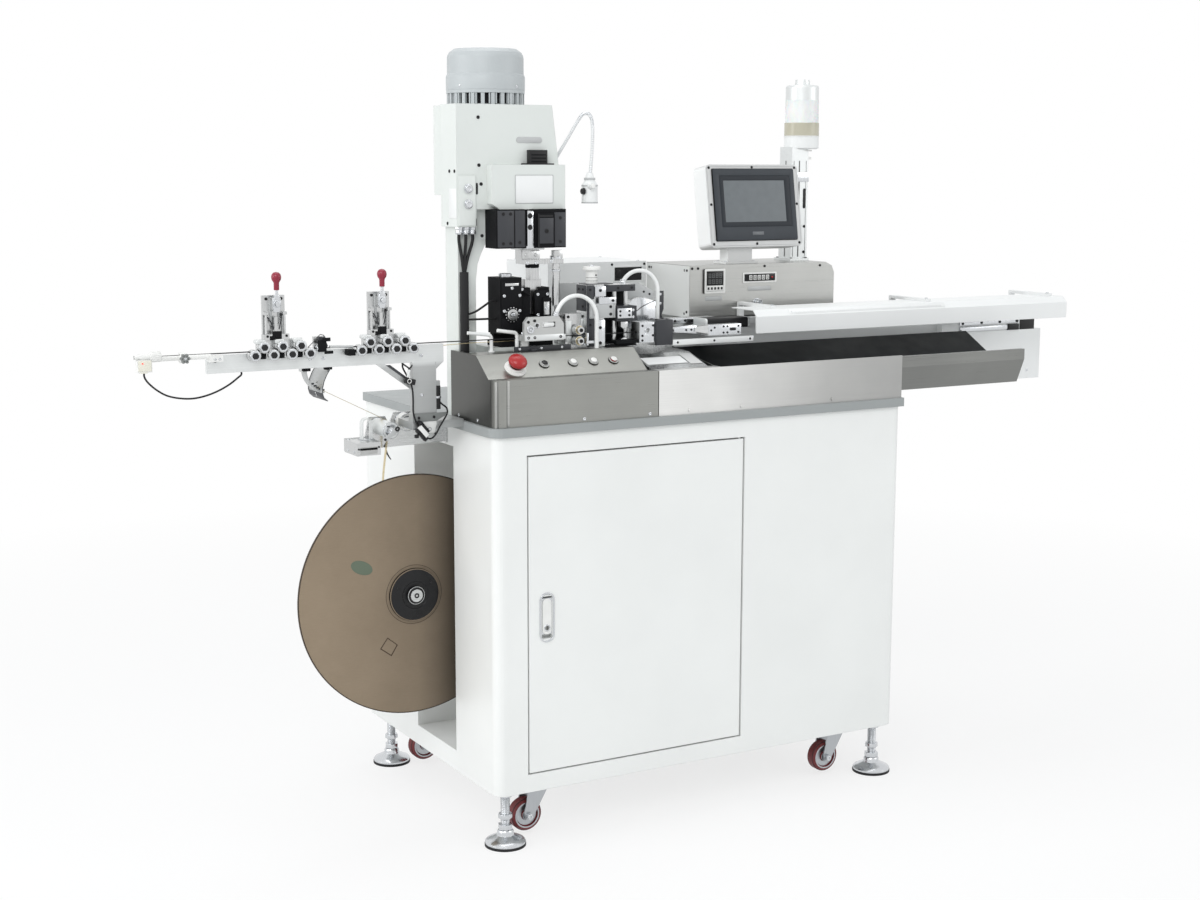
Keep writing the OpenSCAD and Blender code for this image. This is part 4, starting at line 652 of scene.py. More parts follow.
cord_piece("sensor_cable", [(-594, 105, 915.7), (-594, 105, 908), (-588, 105.5, 898), (-574, 107, 885),
    (-556, 109, 874), (-534, 111, 868), (-511, 113, 866), (-488, 115, 869), (-465, 117, 876),
    (-444, 119, 886), (-428, 120, 897), (-423, 120, 901), (-423, 120, 905.7)], 1.6, "rubber", "cables")
cord_piece("loop_cable", [(-124, 120, 905.7), (-124, 120, 897), (-119, 115, 884), (-114, 110, 871),
    (-110, 110, 857), (-109, 110, 837), (-109, 110, 817), (-105, 109, 800), (-97, 109, 785),
    (-86, 109, 771), (-76, 109, 766), (-66, 109, 773), (-57, 110, 787), (-47, 111, 801), (-41, 112, 811),
    (-42, 113, 820), (-50, 115, 827), (-55.5, 118, 835), (-56, 120, 849), (-56, 120, 860.7)], 1.6, "rubber",
    "cables")
GLANDS_X = (7, 20.5, 34)
for number, x in enumerate(GLANDS_X, 1):
    cord_piece(f"gland_cable_{number}", [(x, 157, 1132), (x, 157, 1118), (0.4 * x + 9.6, 156.5, 1086),
        (16, 156, 1054)], 3, "rubber", "cables")
cord_piece("cable_sleeve", [(16, 156, 792), (16, 156, 880), (16, 156, 970), (16, 156, 1062)], 8.4, "rubber",
    "cables")
cord_piece("applicator_line_1", [(22, 150, 985), (36, 148, 990), (54, 146, 1001), (66, 146, 1008),
    (75.5, 146, 1008)], 2, "rubber", "cables")
cord_piece("applicator_line_2", [(22, 152, 975), (42, 149, 975), (66, 148, 975), (75.5, 148, 975)], 2,
    "rubber", "cables")
cord_piece("swing_arm_hose", arc_route(211, 974, 43, 168.5, 0, 84, 82, 14)
           + [(254, 82, 951), (254, 82, 917.3)], 4, "hose", "air_hoses")
cord_piece("cutter_hose", arc_route(372, 1021, 36, 156.5, 0, 132, 117, 14)
           + [(408, 117, 991), (408, 117, 963.3)], 4, "hose", "air_hoses")


# Stand: feet and casters

FOOT_PLACES = [(31, 31), (889, 31), (31, 573), (889, 573)]
CASTER_PLACES = [(111, 66), (809, 66), (111, 538), (809, 538)]


def dress_foot(number, x, y):
    thread = []
    height = 44.0
    while height < 96:
        thread += [(8.1, height), (8.9, height + 0.9)]
        height += 1.8
    Form(f"foot_thread_{number}", "zinc").lathe(
        [(0, 43), (8.1, 43)] + thread + [(8.1, 97), (0, 97)], x, y, 0, "up", 24)
    piece = Form(f"foot_nuts_{number}", "zinc")
    piece.prism(hexagon(14.5, x, y, 10), "xy", 31, 41, 0.8)
    piece.prism(hexagon(13.5, x, y, 35), "xy", 52, 60, 0.8)
    piece.disc(x, y, 60, "up", 12.5, 1.5)
    Form(f"foot_rubber_{number}", "rubber").ring(x, y, 0, "up", 30, 38.9, 5.5, 1.2, 48)
    Form(f"foot_pad_{number}", "zinc").lathe(
        [(0, 6), (37.5, 6), (38.3, 8.4), (36, 11), (28, 15), (20, 18.6), (16.5, 20.5), (15.5, 24),
        (15.5, 27.5), (13.5, 30.5), (0, 31)], x, y, 0, "up", 48)
    Form(f"foot_flange_{number}", "white").disc(x, y, 99, "up", 19, 5.8, 1)


for number, (x, y) in enumerate(FOOT_PLACES, 1):
    dress_foot(number, x, y)


def dress_caster(number, x, y):
    axle_x = x - 22
    wheel = f"caster_wheel_{number}"
    fork = f"caster_fork_{number}"
    z = 39.5
    hubs = Form(f"caster_hub_and_highlight_{number}", "fork", wheel)
    rims = Form(f"caster_rim_{number}", "tyre_edge", wheel)
    for side, direction in ((-1, "front"), (1, "back")):
        face = y + side * 12
        hubs.ring(axle_x, face - side * 5.2, z, direction, 10.6, 21.2, 1.2)
        hubs.ring(axle_x, face - side * 0.2, z, direction, 5, 10.2, 0.8)
        # A grey ring on the tyre's side wall is a painted highlight.
        hubs.ring(axle_x, face - side * 0.4, z, direction, 22.6, 25.5, 0.9)
        rims.ring(axle_x, face - side * 4.9, z, direction, 27.3, 31.45, 1.6, 0.8)
    nuts = Form(f"caster_nuts_{number}", "zinc", fork)
    for side, direction in ((-1, "front"), (1, "back")):
        nuts.screw(axle_x, y + side * 23, z, 5.5, 3, direction)
    nuts.ring(x, y, 90, "up", 20, 24.6, 7.6, 1.2, 40)
    plate = Form(f"caster_bolts_{number}", "zinc")
    for dx in (-29, 29):
        for dy in (-21, 21):
            plate.prism(hexagon(5, x + dx, y + dy), "xy", 96, 100.2, 0.5)


for number, (x, y) in enumerate(CASTER_PLACES, 1):
    dress_caster(number, x, y)


# Cabinet and door

Form("lock_surround", "zinc", "door").frame_prism(
    rounded(88.5, 119.5, 388, 482, 15.2, 8), rounded(91.4, 116.6, 391.4, 478.6, 12.4, 8), "xz", -1.8, 0.2)
Form("lock_paddle", "plastic", "door_handle").prism(
    rounded(94.6, 113.4, 402.5, 470.5, 9.3, 8), "xz", -0.7, 1.2, 0.6)
Form("lock_barrel", "zinc", "door_handle").ring(104, -0.6, 415, "front", 4.4, 6.8, 0.9)
Form("lock_core", "stainless_dark", "door_handle").disc(104, -0.6, 415, "front", 4.5, 0.6)
Form("lock_keyhole", "black", "door_handle").box(103.4, 104.6, -1.5, -1.1, 412, 418, 0.1)
Form("rear_panel", "white").prism(rounded(60, 860, 190, 740, 6), "xz", 603.8, 605.6, 0.6)
Form("rear_panel_screws", "zinc").screws(
    [(x, 605.5, z) for x in (80, 340, 600, 840) for z in (208, 722)], 4.5, 1.6, "back")
louvres = Form("rear_louvres", "white")
for z in range(240, 420, 18):
    louvres.prism([(605.4, z), (605.4, z + 11), (608.8, z + 1.5), (608.8, z)], "yz", 560, 780, 0.4)
slots = Form("rear_louvre_slots", "black")
for z in range(240, 420, 18):
    slots.box(561, 779, 605.2, 608.4, z - 0.6, z + 0.4, 0)


# Hood and its controls

SLOPE = math.atan2(39, 52)


def on_slope(x, along):
    """A placing on the hood's slope, given along it from its lower fold."""
    return turned(x, 24 + along * math.cos(SLOPE), 878 + along * math.sin(SLOPE), math.degrees(SLOPE), "X")


Form("estop_cap", "red", "estop_button", on_slope(63, 24)).lathe(
    [(0, 12.6), (13.5, 12.6), (16.2, 14), (17.4, 16.5), (17.5, 19), (16.4, 22), (13.6, 25), (9, 27.4),
    (4.5, 28.6), (0, 28.9)], 0, 0, 0, "up", 48)
piece = Form("estop_collar", "plastic", MACHINE, on_slope(63, 24))
piece.ring(0, 0, 0, "up", 11.2, 20.5, 2.6, 1)
piece.ring(0, 0, 2.4, "up", 11.4, 15.2, 5, 1)
BUTTONS = ((125, "black_gloss"), (185, "plastic"), (228, "plastic"), (271, "plastic"))
for number, (x, shade) in enumerate(BUTTONS, 1):
    frame_here = on_slope(x, 31)
    Form(f"button_bezel_{number}", "plate", MACHINE, frame_here).ring(0, 0, 0, "up", 6.5, 8.8, 2.9, 1)
    Form(f"button_ring_{number}", "dark", MACHINE, frame_here).ring(0, 0, 0, "up", 9.2, 10.2, 0.7, 0.1, 40)
    Form(f"button_cap_{number}", shade, f"button_{number}", frame_here).lathe(
        [(0, 4.2), (5.4, 4.2), (6.1, 4.7), (5.6, 5.3), (3, 5.8), (0, 6)], 0, 0, 0, "up")
piece = Form("hood_screws", "zinc")
piece.screws(grid((182, 322), 0, 798), 3.2, 1)
piece.screws(grid(0, (70, 150), 799), 3.2, 1, "left")
Form("hood_seam", "dark").box(340.4, 341.6, -0.35, 0.4, 793, 877.5, 0)
# Lighter strips at the two bends of the hood's front corner are painted highlights, and the darker lines
# beside them painted shade.
piece = Form("hood_fold_highlights", "stainless")
piece.box(0.6, 4.6, -0.3, 0.3, 793, 876, 0.1)
piece.box(25.4, 29.6, -0.3, 0.3, 793, 876.6, 0.1)
piece = Form("hood_fold_shade_lines", "stainless_dark")
piece.box(23.8, 25.2, -0.3, 0.3, 793, 876.6, 0.1)
piece.box(5, 8, -0.3, 0.3, 793, 876, 0.1)
Form("chute_lip", "cover").prism([(50, 883.5), (80, 893.1), (80, 893.8), (50, 884.2)], "yz", 347, 436, 0)
Form("chute_plate", "panel_grey").prism(
    [(44, 881.6), (92, 896.9), (92, 897.6), (44, 882.3)], "yz", 440, 466, 0)
Form("front_panel_screws", "black").screws([(x, 0, 800) for x in (410.4, 528.4, 744.3)], 3, 1)


def bent_rod(name, foot, lean, radius, rise, drift, corner=7):
    """A rod that stands on the hood's top and turns over to the left."""
    x, y, z = foot
    bend = [(px, y, pz) for px, pz in arc(x - corner, z + rise - corner, corner, 0, 90, 6)]
    points = [foot] + bend + [(x - lean, y + drift, z + rise + 5)]
    Form(name, "hose").tube(points, radius, 14).ring(x, y, z, "up", radius, radius + 2.5, 2.5)


bent_rod("guide_rod_left", (50, 114, 917), 47, 3.2, 32, 2)
bent_rod("guide_rod_right", (98, 105, 917), 40, 3.4, 35, 0)


# Press

piece = Form("press_screws", "black")
piece.screws([(44, 150, 1342), (45, 150, 1256), (49, 150, 1222), (50, 150, 1128)], 3.2, 1.2)
piece.screws([(0, 180, 1245), (0, 158, 1245), (0, 190, 1150)], 3.2, 1.2, "left")
Form("press_slots", "black").prism(rounded(37.6, 42.4, 1203, 1224, 2.3), "xz", 149.2, 150.1, 0)
Form("press_slot_low", "black").prism(rounded(34.8, 39.2, 1145.5, 1160, 2.1), "xz", 149.2, 150.1, 0)
Form("power_box_face", "press").prism(rounded(3, 36.2, 1147, 1237, 1.5), "xz", 145.9, 147.2, 0.5)
connectors = Form("power_connectors", "zinc")
for z in (1186, 1214):
    connectors.ring(21, 145.8, z, "front", 4.2, 8.6, 3.2, 0.8)
    connectors.disc(21, 143.5, z, "front", 4.6, 2.4, 0.8)
    connectors.ring(21, 142.4, z, "front", 3.2, 6.9, 2.8, 0.8)
Form("blank_plate_side", "cover").prism(rounded(151, 184, 1160, 1214, 1), "yz", -0.6, 0.1, 0.2)
Form("blank_plate_oval", "plate").prism(rounded(121, 175, 1296.5, 1307.5, 5.4), "xz", 149.2, 150.1, 0.3)
Form("blank_plate_front", "cover").prism(rounded(109, 187, 1187, 1238, 1.5), "xz", 129.3, 130.1, 0.25)
Form("blank_plate_edge", "plate").frame_prism(
    rounded(108.4, 187.6, 1186.4, 1238.6, 1.8), rounded(109.6, 186.4, 1187.6, 1237.4, 1.2), "xz", 129.1,
    130.05, 0.1)
piece = Form("shelf_box", "black")
piece.box(143, 180, 137, 150.2, 1257, 1284, 1)
piece.box(131, 192, 134, 150.1, 1256.6, 1259.5, 0.6)
ribs = Form("shelf_box_ribs", "dark")
for z in (1262, 1268, 1274):
    ribs.box(146, 177, 136.2, 138, z, z + 2, 0.3)
glands = Form("cable_glands", "zinc")
for x in GLANDS_X:
    glands.lathe([(0, 0), (6.2, 0), (6.6, 1.5), (6.6, 6), (5.4, 9.5), (5.4, 13), (0, 13)], x, 157, 1131,
        "up", 20)
    glands.prism(hexagon(7.2, x, 157), "xy", 1139, 1144.5, 0.5)
    glands.ring(x, 157, 1133.5, "up", 3, 6.9, 1.4, 0.4)

# Motor: fan cover seam, slotted ring and cover screws
MOTOR = (97, 227)
Form("motor_cover", "motor").lathe(
    [(70, 27.2), (73.3, 27.2), (73.5, 29), (73.5, 51), (72.6, 53.4), (71.4, 54.6), (71.2, 57), (71.2, 85),
    (70, 91), (66.5, 96.5), (60, 100.5), (50, 102.2), (0, 102.6), (0, 101.5), (50, 101), (66, 94),
    (70, 84)], *MOTOR, 1366, "up", 72)
Form("motor_slots_ring", "dark").ring(*MOTOR, 1368, "up", 62, 66, 24, 0.3, 72)
fins = Form("motor_fins", "motor")
for a, (x, y) in zip(turn_angles(36), circle(*MOTOR, 68.4, 36)):
    part = bmesh.new()
    bmesh.ops.create_cube(part, size=1)
    part.transform(Matrix.Diagonal((0.006, 0.0026, 0.0205, 1)))
    fins.add(part, Matrix.Translation(Vector((x, y, 1377.5)) / 1000) @ Matrix.Rotation(a, 4, "Z"))
Form("motor_cover_screws", "zinc").screws(
    [(x, y, 1399) for x, y in arc(*MOTOR, 73.2, 205, 295, 1)], 2.6, 1.2, (-0.4, -0.9, 0))

# Guide block of the ram, with the light strip and its cover plates
guide = Form("guide_plates", "guide_dark")
guide.box(66, 99, 115.6, 118.4, 1107, 1174, 0.8)
guide.box(101, 122, 114.8, 118.4, 1107, 1174, 0.8)
guide.box(183, 206.5, 115.6, 118.4, 1107, 1170, 0.8)
guide.box(149.5, 178.5, 111, 113.4, 1113, 1160, 0.7)
# Black strips in the gaps beside the guide plates stand for their shadow: painted shade.
piece = Form("guide_gap_shadows", "black")
piece.box(99, 101, 117, 118.2, 1106, 1175, 0)
piece.box(147, 149.4, 112, 113.3, 1106, 1168, 0)
piece.box(150, 178, 112.4, 113.3, 1161.5, 1165.5, 0)
piece = Form("guide_screws", "black")
piece.screws([(164, 111, 1136)], 4, 1.4)
piece.screws([(77, 115.6, 1168), (92, 115.6, 1168), (77, 115.6, 1114), (92, 115.6, 1114),
    (195, 115.6, 1116), (195, 115.6, 1160), (110, 114.8, 1116)], 3, 1)
Form("ram_light_strip", "zinc", "press_ram").box(126, 142, 119.6, 122.3, 1104, 1172, 0.6)
piece = Form("ram_light_holes", "black", "press_ram")
piece.disc(134, 119.7, 1164, "front", 5, 0.5)
piece.disc(134, 119.7, 1143, "front", 5, 0.5)
ram = Form("ram_details", "zinc", "press_ram")
ram.screws([(130, 124, 1077), (148, 124, 1077), (180, 124, 1079)], 3, 1.6)
ram.ring(195, 134, 1083, "up", 7.6, 11.5, 6, 1)
ram.ring(195, 134, 1060, "up", 7.4, 9.6, 4, 0.8)
ram.disc(195, 134, 996, "down", 8.2, 1, 0.6)
piece = Form("ram_clamp", "steel", "press_ram")
piece.box(121.6, 159, 128.6, 134, 1084, 1100, 1)
piece.box(186, 204.5, 123.4, 128, 1084.5, 1100, 1.2)
piece.screw(130, 128.6, 1092, 3.2, 1.8)
piece.screw(150, 128.6, 1092, 3.2, 1.8)
Form("ram_shank_head", "dark", "press_ram").lathe(
    [(0, 0), (12, 0), (13, 1.5), (13, 9), (11.5, 11), (0, 11)], 153, 149, 1066.8, "up")

# Applicator: setting disc, ratchet wheel, plates and screws
app = Form("applicator_plates", "dark")
app.box(77.5, 118.5, 124.6, 128.4, 985, 1045, 1.2)
app.box(150.5, 181, 132.6, 136.4, 972, 1026, 1.2)
app.box(165, 183, 128.6, 134, 973, 1012, 1.2)
app.box(122, 146, 133.4, 136.4, 969, 979, 0.8)
app.prism([(78, 952), (118, 952), (118, 984), (96, 984), (78, 975)], "xz", 126.4, 132, 1)
app.prism([(116, 1028), (136, 1016), (139, 1020), (120, 1034)], "xz", 127.4, 132, 0.8)
app.disc(98, 125.6, 983, "front", 13, 4, 1.2)
piece = Form("applicator_steel", "steel")
piece.ring(98, 121.6, 983, "front", 5, 10.5, 1.5)
piece.box(166.5, 178, 127.4, 129, 980, 1004, 0.6)
piece.box(84, 112, 123.6, 125, 1036, 1041, 0.4)
piece = Form("applicator_screws", "zinc")
piece.screws([(82, 124.6, 990), (114, 124.6, 990), (82, 124.6, 1018), (114, 124.6, 1018), (98, 124.6, 1032),
    (156, 132.6, 1018), (176, 132.6, 1018), (156, 132.6, 980), (120, 127.4, 1029)], 3, 1.8)
piece.screw(98, 120.4, 983, 4, 1.6)
piece.screw(172, 127.4, 992, 4, 1.2)
Form("setting_disc", "zinc").lathe(
    [(0, 0), (11, 0), (12.5, 1), (12.5, 6.5), (11, 8), (5, 8.4), (0, 8.4)], 98, 152, 1050.4, "up", 40)
teeth = Form("ratchet_teeth", "steel")
for x, z in circle(98, 983, 13, 14):
    teeth.disc(x, 125.2, z, "front", 1.3, 3.2, 0.3, 10)


# Swing arm and feed block

arm = "swing_arm"
Form("swing_screws", "black", arm).screws(
    [(109, 80, 972), (122, 80, 974), (109, 80, 943), (122, 80, 943), (176, 80, 943)], 2.7, 1.6)
piece = Form("swing_bearing", "zinc", arm)
piece.ring(113.5, 80, 958, "front", 3.6, 7.8, 1.8, 0.6)
piece.disc(113.5, 79.8, 958, "front", 3, 1.2, 0.4)
piece.ring(127, 80.1, 965, "front", 3.6, 5.4, 0.9, 0.3)
Form("swing_tube", "hose", arm).prism(rounded(141, 163, 962.8, 969.2, 3), "xz", 79.4, 83, 0.6)
piece = Form("swing_cover", "aluminium", arm)
piece.box(102, 182.4, 79.2, 80.1, 937.4, 948, 0.3)
piece.box(184, 190, 86, 108, 937, 946.5, 0.6)
Form("swing_pivot_nut", "zinc", arm).prism(hexagon(7, 113, 105, 12), "xy", 946.6, 951.5, 0.6)
Form("swing_hose_fitting", "zinc", arm).lathe(
    [(4.2, 0), (6, 0), (6, 5), (5.2, 5.6), (5.2, 8.5), (4.2, 9)], 168, 84, 980.8, "up", 24)
# A dark base plate stands for the shadow in the gap under the swing arm: painted shadow.
piece = Form("base_shadow_plate", "guide_dark")
piece.box(88, 206, 94, 98, 917.2, 926, 0.6)
piece.box(120, 131, 88, 94.4, 917.2, 922, 0.5)
Form("base_dark_screws", "zinc").screws(grid((143, 186, 98), 94, 921.5), 2.4, 1.2)
piece = Form("feed_block_screws", "black")
piece.screws([(211, 115, 975), (242, 115, 975), (211, 115, 922)], 2.7, 1.5)
piece.screws(grid(205, (122, 136), 974), 2.7, 1.5, "left")
piece = Form("feed_block_plate", "aluminium")
piece.box(206, 218, 113.6, 115.1, 928, 968, 0.5)
piece.box(238.5, 241.8, 113.4, 115.1, 955, 970, 0.4)
piece = Form("feed_latch", "zinc")
piece.box(236, 240.5, 88, 116, 922, 946, 0.7)
piece.box(234, 258, 84.8, 88.4, 926, 931.6, 0.7)
piece.disc(255, 84.8, 928.8, "front", 2.6, 4, 0.6)
FEED_X = 226
for side, z in (("upper", 951.2), ("lower", 930.8)):
    body = f"feed_wheel_{side}"
    knurl = Form(f"feed_knurl_{side}", "steel", body)
    for ridge_x, ridge_z in circle(FEED_X, z, 8.66, 30):
        knurl.disc(ridge_x, 98.1, ridge_z, "back", 0.42, 13.8, 0.1, 6)
    Form(f"feed_face_{side}", "brass", body).ring(FEED_X, 98.1, z, "front", 6.2, 8.2, 0.7, 0.2)
    Form(f"feed_axle_screw_{side}", "black").screw(FEED_X, 91.1, z, 3.6, 1.4)

# Cutter head: tower plates, bridge, blades and setting column
piece = Form("tower_dark", "guide_dark")
piece.box(242.3, 257.4, 97.2, 100.1, 918, 1034, 0.6)
piece.box(241, 242.2, 101, 138, 985, 1034, 0.4)
piece.box(281, 347.6, 99.4, 101.1, 1020.6, 1033.2, 0.4)
piece.box(242.2, 300, 100.4, 131, 1034.6, 1036.2, 0.3)
# Thin black sheets at the back and bottom of the cutter opening stand for its shade: painted shade.
piece = Form("tower_opening_shade", "dark")
piece.box(280.4, 347.6, 130.3, 131.2, 922, 1020.4, 0.2)
piece.box(280.4, 348.6, 95, 131, 917.2, 920.4, 0.4)
piece = Form("tower_block", "zinc")
piece.box(257.6, 281, 94.4, 100.2, 1012.4, 1031.6, 0.9)
piece.box(259.4, 280, 95.6, 100.2, 918.4, 968.8, 0.9)
piece.box(264.4, 301.6, 91.6, 94.6, 998.4, 1011, 0.7)
piece = Form("tower_plate", "plate")
piece.box(246.4, 296.6, 92.6, 100.2, 972, 999.4, 0.9)
piece.box(251.6, 258.2, 94.6, 100.2, 999.2, 1008, 0.5)
Form("tower_side_plate", "plate").box(296.4, 300.4, 92, 103, 972, 997, 0.5)
piece = Form("tower_screws", "black")
piece.screws([(268.6, 94.4, 1024), (269.4, 95.6, 954), (269.4, 95.6, 925)], 3, 1.2)
piece.screws(grid((257, 290), 92.6, (993, 979)), 2.8, 1.2)
piece.screws(grid(248.5, 97.2, (1006, 1026, 960)), 2.4, 1.2)
piece.screws([(294.6, 91.6, 1004.6)], 2.8, 1)
piece.screws([(241, 112, 1026), (241, 128, 1026), (241, 112, 994)], 2.4, 1.2, "left")
piece.screws(grid((310, 340), 99.4, 1027), 2.6, 1)
COLUMN = (263.5, 119)
Form("setting_column", "plastic").lathe(
    [(0, 0), (11.2, 0), (11.2, 5), (10.9, 5.4), (10.9, 25.6), (12.4, 26.4), (16.4, 26.6), (16.8, 27.4),
    (16.8, 32), (16, 33.2), (4, 33.6), (0, 33.6)], *COLUMN, 1034.6, "up", 40)
piece = Form("setting_lines", "mark")
piece.ring(*COLUMN, 1041, "up", 10.8, 11.15, 0.7, 0.1, 40)
piece.ring(*COLUMN, 1047, "up", 10.8, 11.15, 0.7, 0.1, 40)
piece.disc(267, 109, 1052, "front", 1.8, 1.4, 0.3)
Form("setting_screw_head", "zinc").screw(*COLUMN, 1068, 5, 2.6, "up")
Form("cutter_hose_fitting", "zinc").lathe(
    [(4.2, 0), (6.2, 0), (6.2, 4), (5.2, 5), (5.2, 7.4), (4.2, 8)], 338.6, 131.6, 1032.8, "up", 24)
Form("blade_strip", "zinc", "blade_upper").box(301.6, 332.6, 85.6, 87.2, 970.6, 989.4, 0.5)
Form("blade_strip_screws", "black", "blade_upper").screws(grid((307, 327), 85.6, (984, 976)), 2.2, 1)
Form("blade_edge_upper", "steel_x", "blade_upper").prism(
    [(316.4, 953.6), (321.2, 949.6), (326.8, 949.6), (331.6, 953.6), (331.6, 963), (316.4, 963)], "xz",
    99.2, 100.1, 0.2)
Form("blade_edge_lower", "steel_x", "blade_lower").prism(
    [(316.4, 929.2), (331.6, 929.2), (326.6, 932.4), (321.4, 932.4)], "xz", 99.2, 100.1, 0.2)
Form("blade_holder_screws", "zinc", "blade_upper").screws(grid(338, 91, (985, 972)), 2.6, 1.2)

# Guard plates, exit guides and the rail in front of the gripper
Form("guard_back_plate", "plate").prism(
    [(344, 1000), (344, 1031), (386, 1032), (420, 1014), (421, 1000)], "xz", 152.2, 155, 0.6)
Form("guard_face", "zinc").prism(
    [(350.6, 947), (429.4, 947), (429.4, 992), (407, 999), (388, 1003.4), (369, 999), (352, 982)], "xz",
    147.2, 148.1, 0.3)
Form("guard_line", "mark").tube(
    [(362, 147, 956), (368, 147, 966), (378, 147, 977), (392, 147, 986), (410, 147, 993), (428, 147, 998)],
    0.9, 8)
piece = Form("guard_screws", "black")
piece.screws([(356, 147.2, 979), (424, 147.2, 984), (356, 147.2, 952)], 2.6, 1)
piece.screws([(398, 152.3, 1014), (411, 152.3, 1009)], 2.2, 1)
Form("bracket_dark", "guide_dark").prism(
    [(451.8, 917), (466.4, 917), (466.4, 947), (469.4, 953), (464.4, 963), (469.4, 975), (469.4, 1011),
    (452.6, 1011), (452.6, 981), (455.6, 965)], "xz", 194, 196.1, 0.6)
Form("bracket_screws", "zinc").screws([(461, 194, 1004), (461, 194, 986), (459, 194, 930)], 2.6, 1.2)
Form("rear_upright_face", "plate").box(224.6, 301.4, 195.2, 196.1, 918, 1032.4, 0.3)
Form("rear_upright_screws", "black").screws(grid((231, 295), 195.2, (1026, 926)), 2.8, 1.2)
exit_dark = Form("exit_guide_dark", "guide_dark")
exit_dark.box(388.2, 424.4, 85.8, 87.1, 915.4, 963.6, 0.5)
exit_dark.box(388, 424.4, 87, 125, 962.9, 963.9, 0.3)
exit_dark.box(387.2, 388.1, 86, 91, 915.4, 963, 0.2)
exit_dark.frame_prism(rounded(87.2, 124.8, 915.4, 962.8, 1), rounded(101, 109, 937, 945, 3.9), "yz", 423.9,
    424.8, 0.2)
piece = Form("exit_guide_face", "zinc")
piece.frame_prism(rounded(352.6, 387.2, 921.8, 960.4, 1.2), rounded(365.8, 374.2, 940.8, 949.2, 4.15), "xz",
    89.8, 91.1, 0.3)
piece.ring(370, 89.9, 945, "front", 4.2, 6.2, 1.2, 0.3)
piece = Form("exit_guide_screws", "black")
piece.screws([(358.4, 89.8, 954), (358.4, 89.8, 935), (382, 89.8, 954), (382, 89.8, 935),
    (358.4, 89.8, 926)], 2.3, 1)
piece.screws(grid((394, 418), (98, 116), 963.8), 2.8, 1.4, "up")
Form("front_rail_face", "cover").box(424.6, 612.4, 86.8, 88.1, 913.6, 924.6, 0.3)
Form("front_rail_screws", "black").screws(grid((436, 520, 604), 86.8, 919), 2.2, 0.8)

# Gripper: fingers, face plate and cylinder
grip = "gripper"
for side in (-1, 1):
    y = 105 + side * 5
    Form("gripper_finger_" + ("front" if side < 0 else "rear"), "zinc", grip).prism(
        [(434, 938.6), (440, 936.4), (486, 932.4), (486, 949.6), (440, 945.6), (434, 943.4)], "xz", y - 2.2,
        y + 2.2, 0.8)
pads = Form("gripper_finger_pads", "black", grip)
for y in (102.4, 106.6):
    pads.box(434.4, 452, y, y + 1, 938.8, 943.2, 0.2)
Form("gripper_finger_pins", "black", grip).screws(grid((474, 462), 97.8, 941), 2, 1)
Form("gripper_face", "zinc", grip).box(511.6, 588.6, 95.4, 97.1, 928, 948.8, 0.6)
piece = Form("gripper_holes", "black", grip)
piece.screws([(518, 95.4, 938), (526, 95.4, 943), (547, 95.4, 944.6), (547, 95.4, 932.4),
    (556, 95.4, 944.6), (556, 95.4, 932.4), (582, 95.4, 944.6), (582, 95.4, 932.4)], 2.1, 0.8)
piece.prism(rounded(561.5, 576, 935.8, 941.6, 2.8), "xz", 94.6, 95.6, 0.2)
piece = Form("gripper_slide_face", "zinc", grip)
piece.box(486, 588, 194.4, 196.1, 944.4, 954.6, 0.5)
piece.box(486, 588, 194.4, 196.1, 926, 930, 0.4)
Form("gripper_slide_screws", "black", grip).screws(grid((496, 520, 556, 580), 194.4, 949.6), 2.6, 1.4)
Form("gripper_cylinder", "black", grip).prism(rounded(132, 176, 937.2, 957, 4), "yz", 530, 632, 0.8)
piece = Form("gripper_cylinder_caps", "aluminium", grip)
piece.prism(rounded(131.6, 176.4, 936.9, 957.4, 4), "yz", 528, 533, 0.6)
piece.prism(rounded(131.6, 176.4, 936.9, 957.4, 4), "yz", 629, 634, 0.6)
# A long black strip below the instrument housing's front edge.
Form("black_strip_under_housing", "black").box(480, 1428, 223.4, 228.8, 948.6, 951.4, 0.3)

# Long cover with its scale, beam end and rail parts
on_chamfer = turned(0, 85, 961, 45, "X")
Form("scale_plate", "cover", MACHINE, on_chamfer).box(700, 1098, 3.2, 15.4, -0.1, 0.5, 0.15)
scale_marks = Form("scale_marks", "mark", MACHINE, on_chamfer)
for i in range(77):
    x = 706 + 5 * i
    long = 6.6 if i % 10 == 0 else 4.8 if i % 2 == 0 else 3
    scale_marks.box(x - 0.28, x + 0.28, 4, 4 + long, 0.4, 0.62, 0)
Form("cover_edge", "cover").box(617.4, 618.6, 86, 88.4, 929, 960, 0.3)
Form("cover_screws", "zinc").screws(grid((673, 1067, 1407), 112, 980.2), 3.4, 1.6, "up")
piece = Form("rail_end_light", "zinc")
piece.box(1238, 1411, 200.4, 203.1, 908.6, 916.8, 0.5)
piece.box(1238, 1375, 199, 203.1, 895.4, 904.6, 0.8)
piece = Form("rail_end_black", "black")
piece.box(1377, 1409, 198.6, 203.1, 893, 906.4, 0.6)
piece.box(1414, 1456.6, 201.6, 203.1, 892.6, 917.4, 0.5)
piece.box(1414, 1456.6, 202, 223, 916.8, 918, 0.3)
Form("rail_end_screws", "black").screws(grid((1246, 1300, 1353, 1404), 200.4, 912.6), 3.2, 1.4)
Form("beam_end_plate", "cover").prism(rounded(203, 289, 782, 892, 2), "yz", 1475.4, 1476.8, 0.4)
Form("beam_end_screws", "zinc").screws(
    [(1476.6, y, z) for y in (211, 281) for z in (790, 884)], 3, 1.2, "right")
Form("beam_screws", "zinc").screws(
    [(960, 202, 840), (1120, 202, 840), (1300, 202, 840), (1440, 202, 800)], 3, 1)
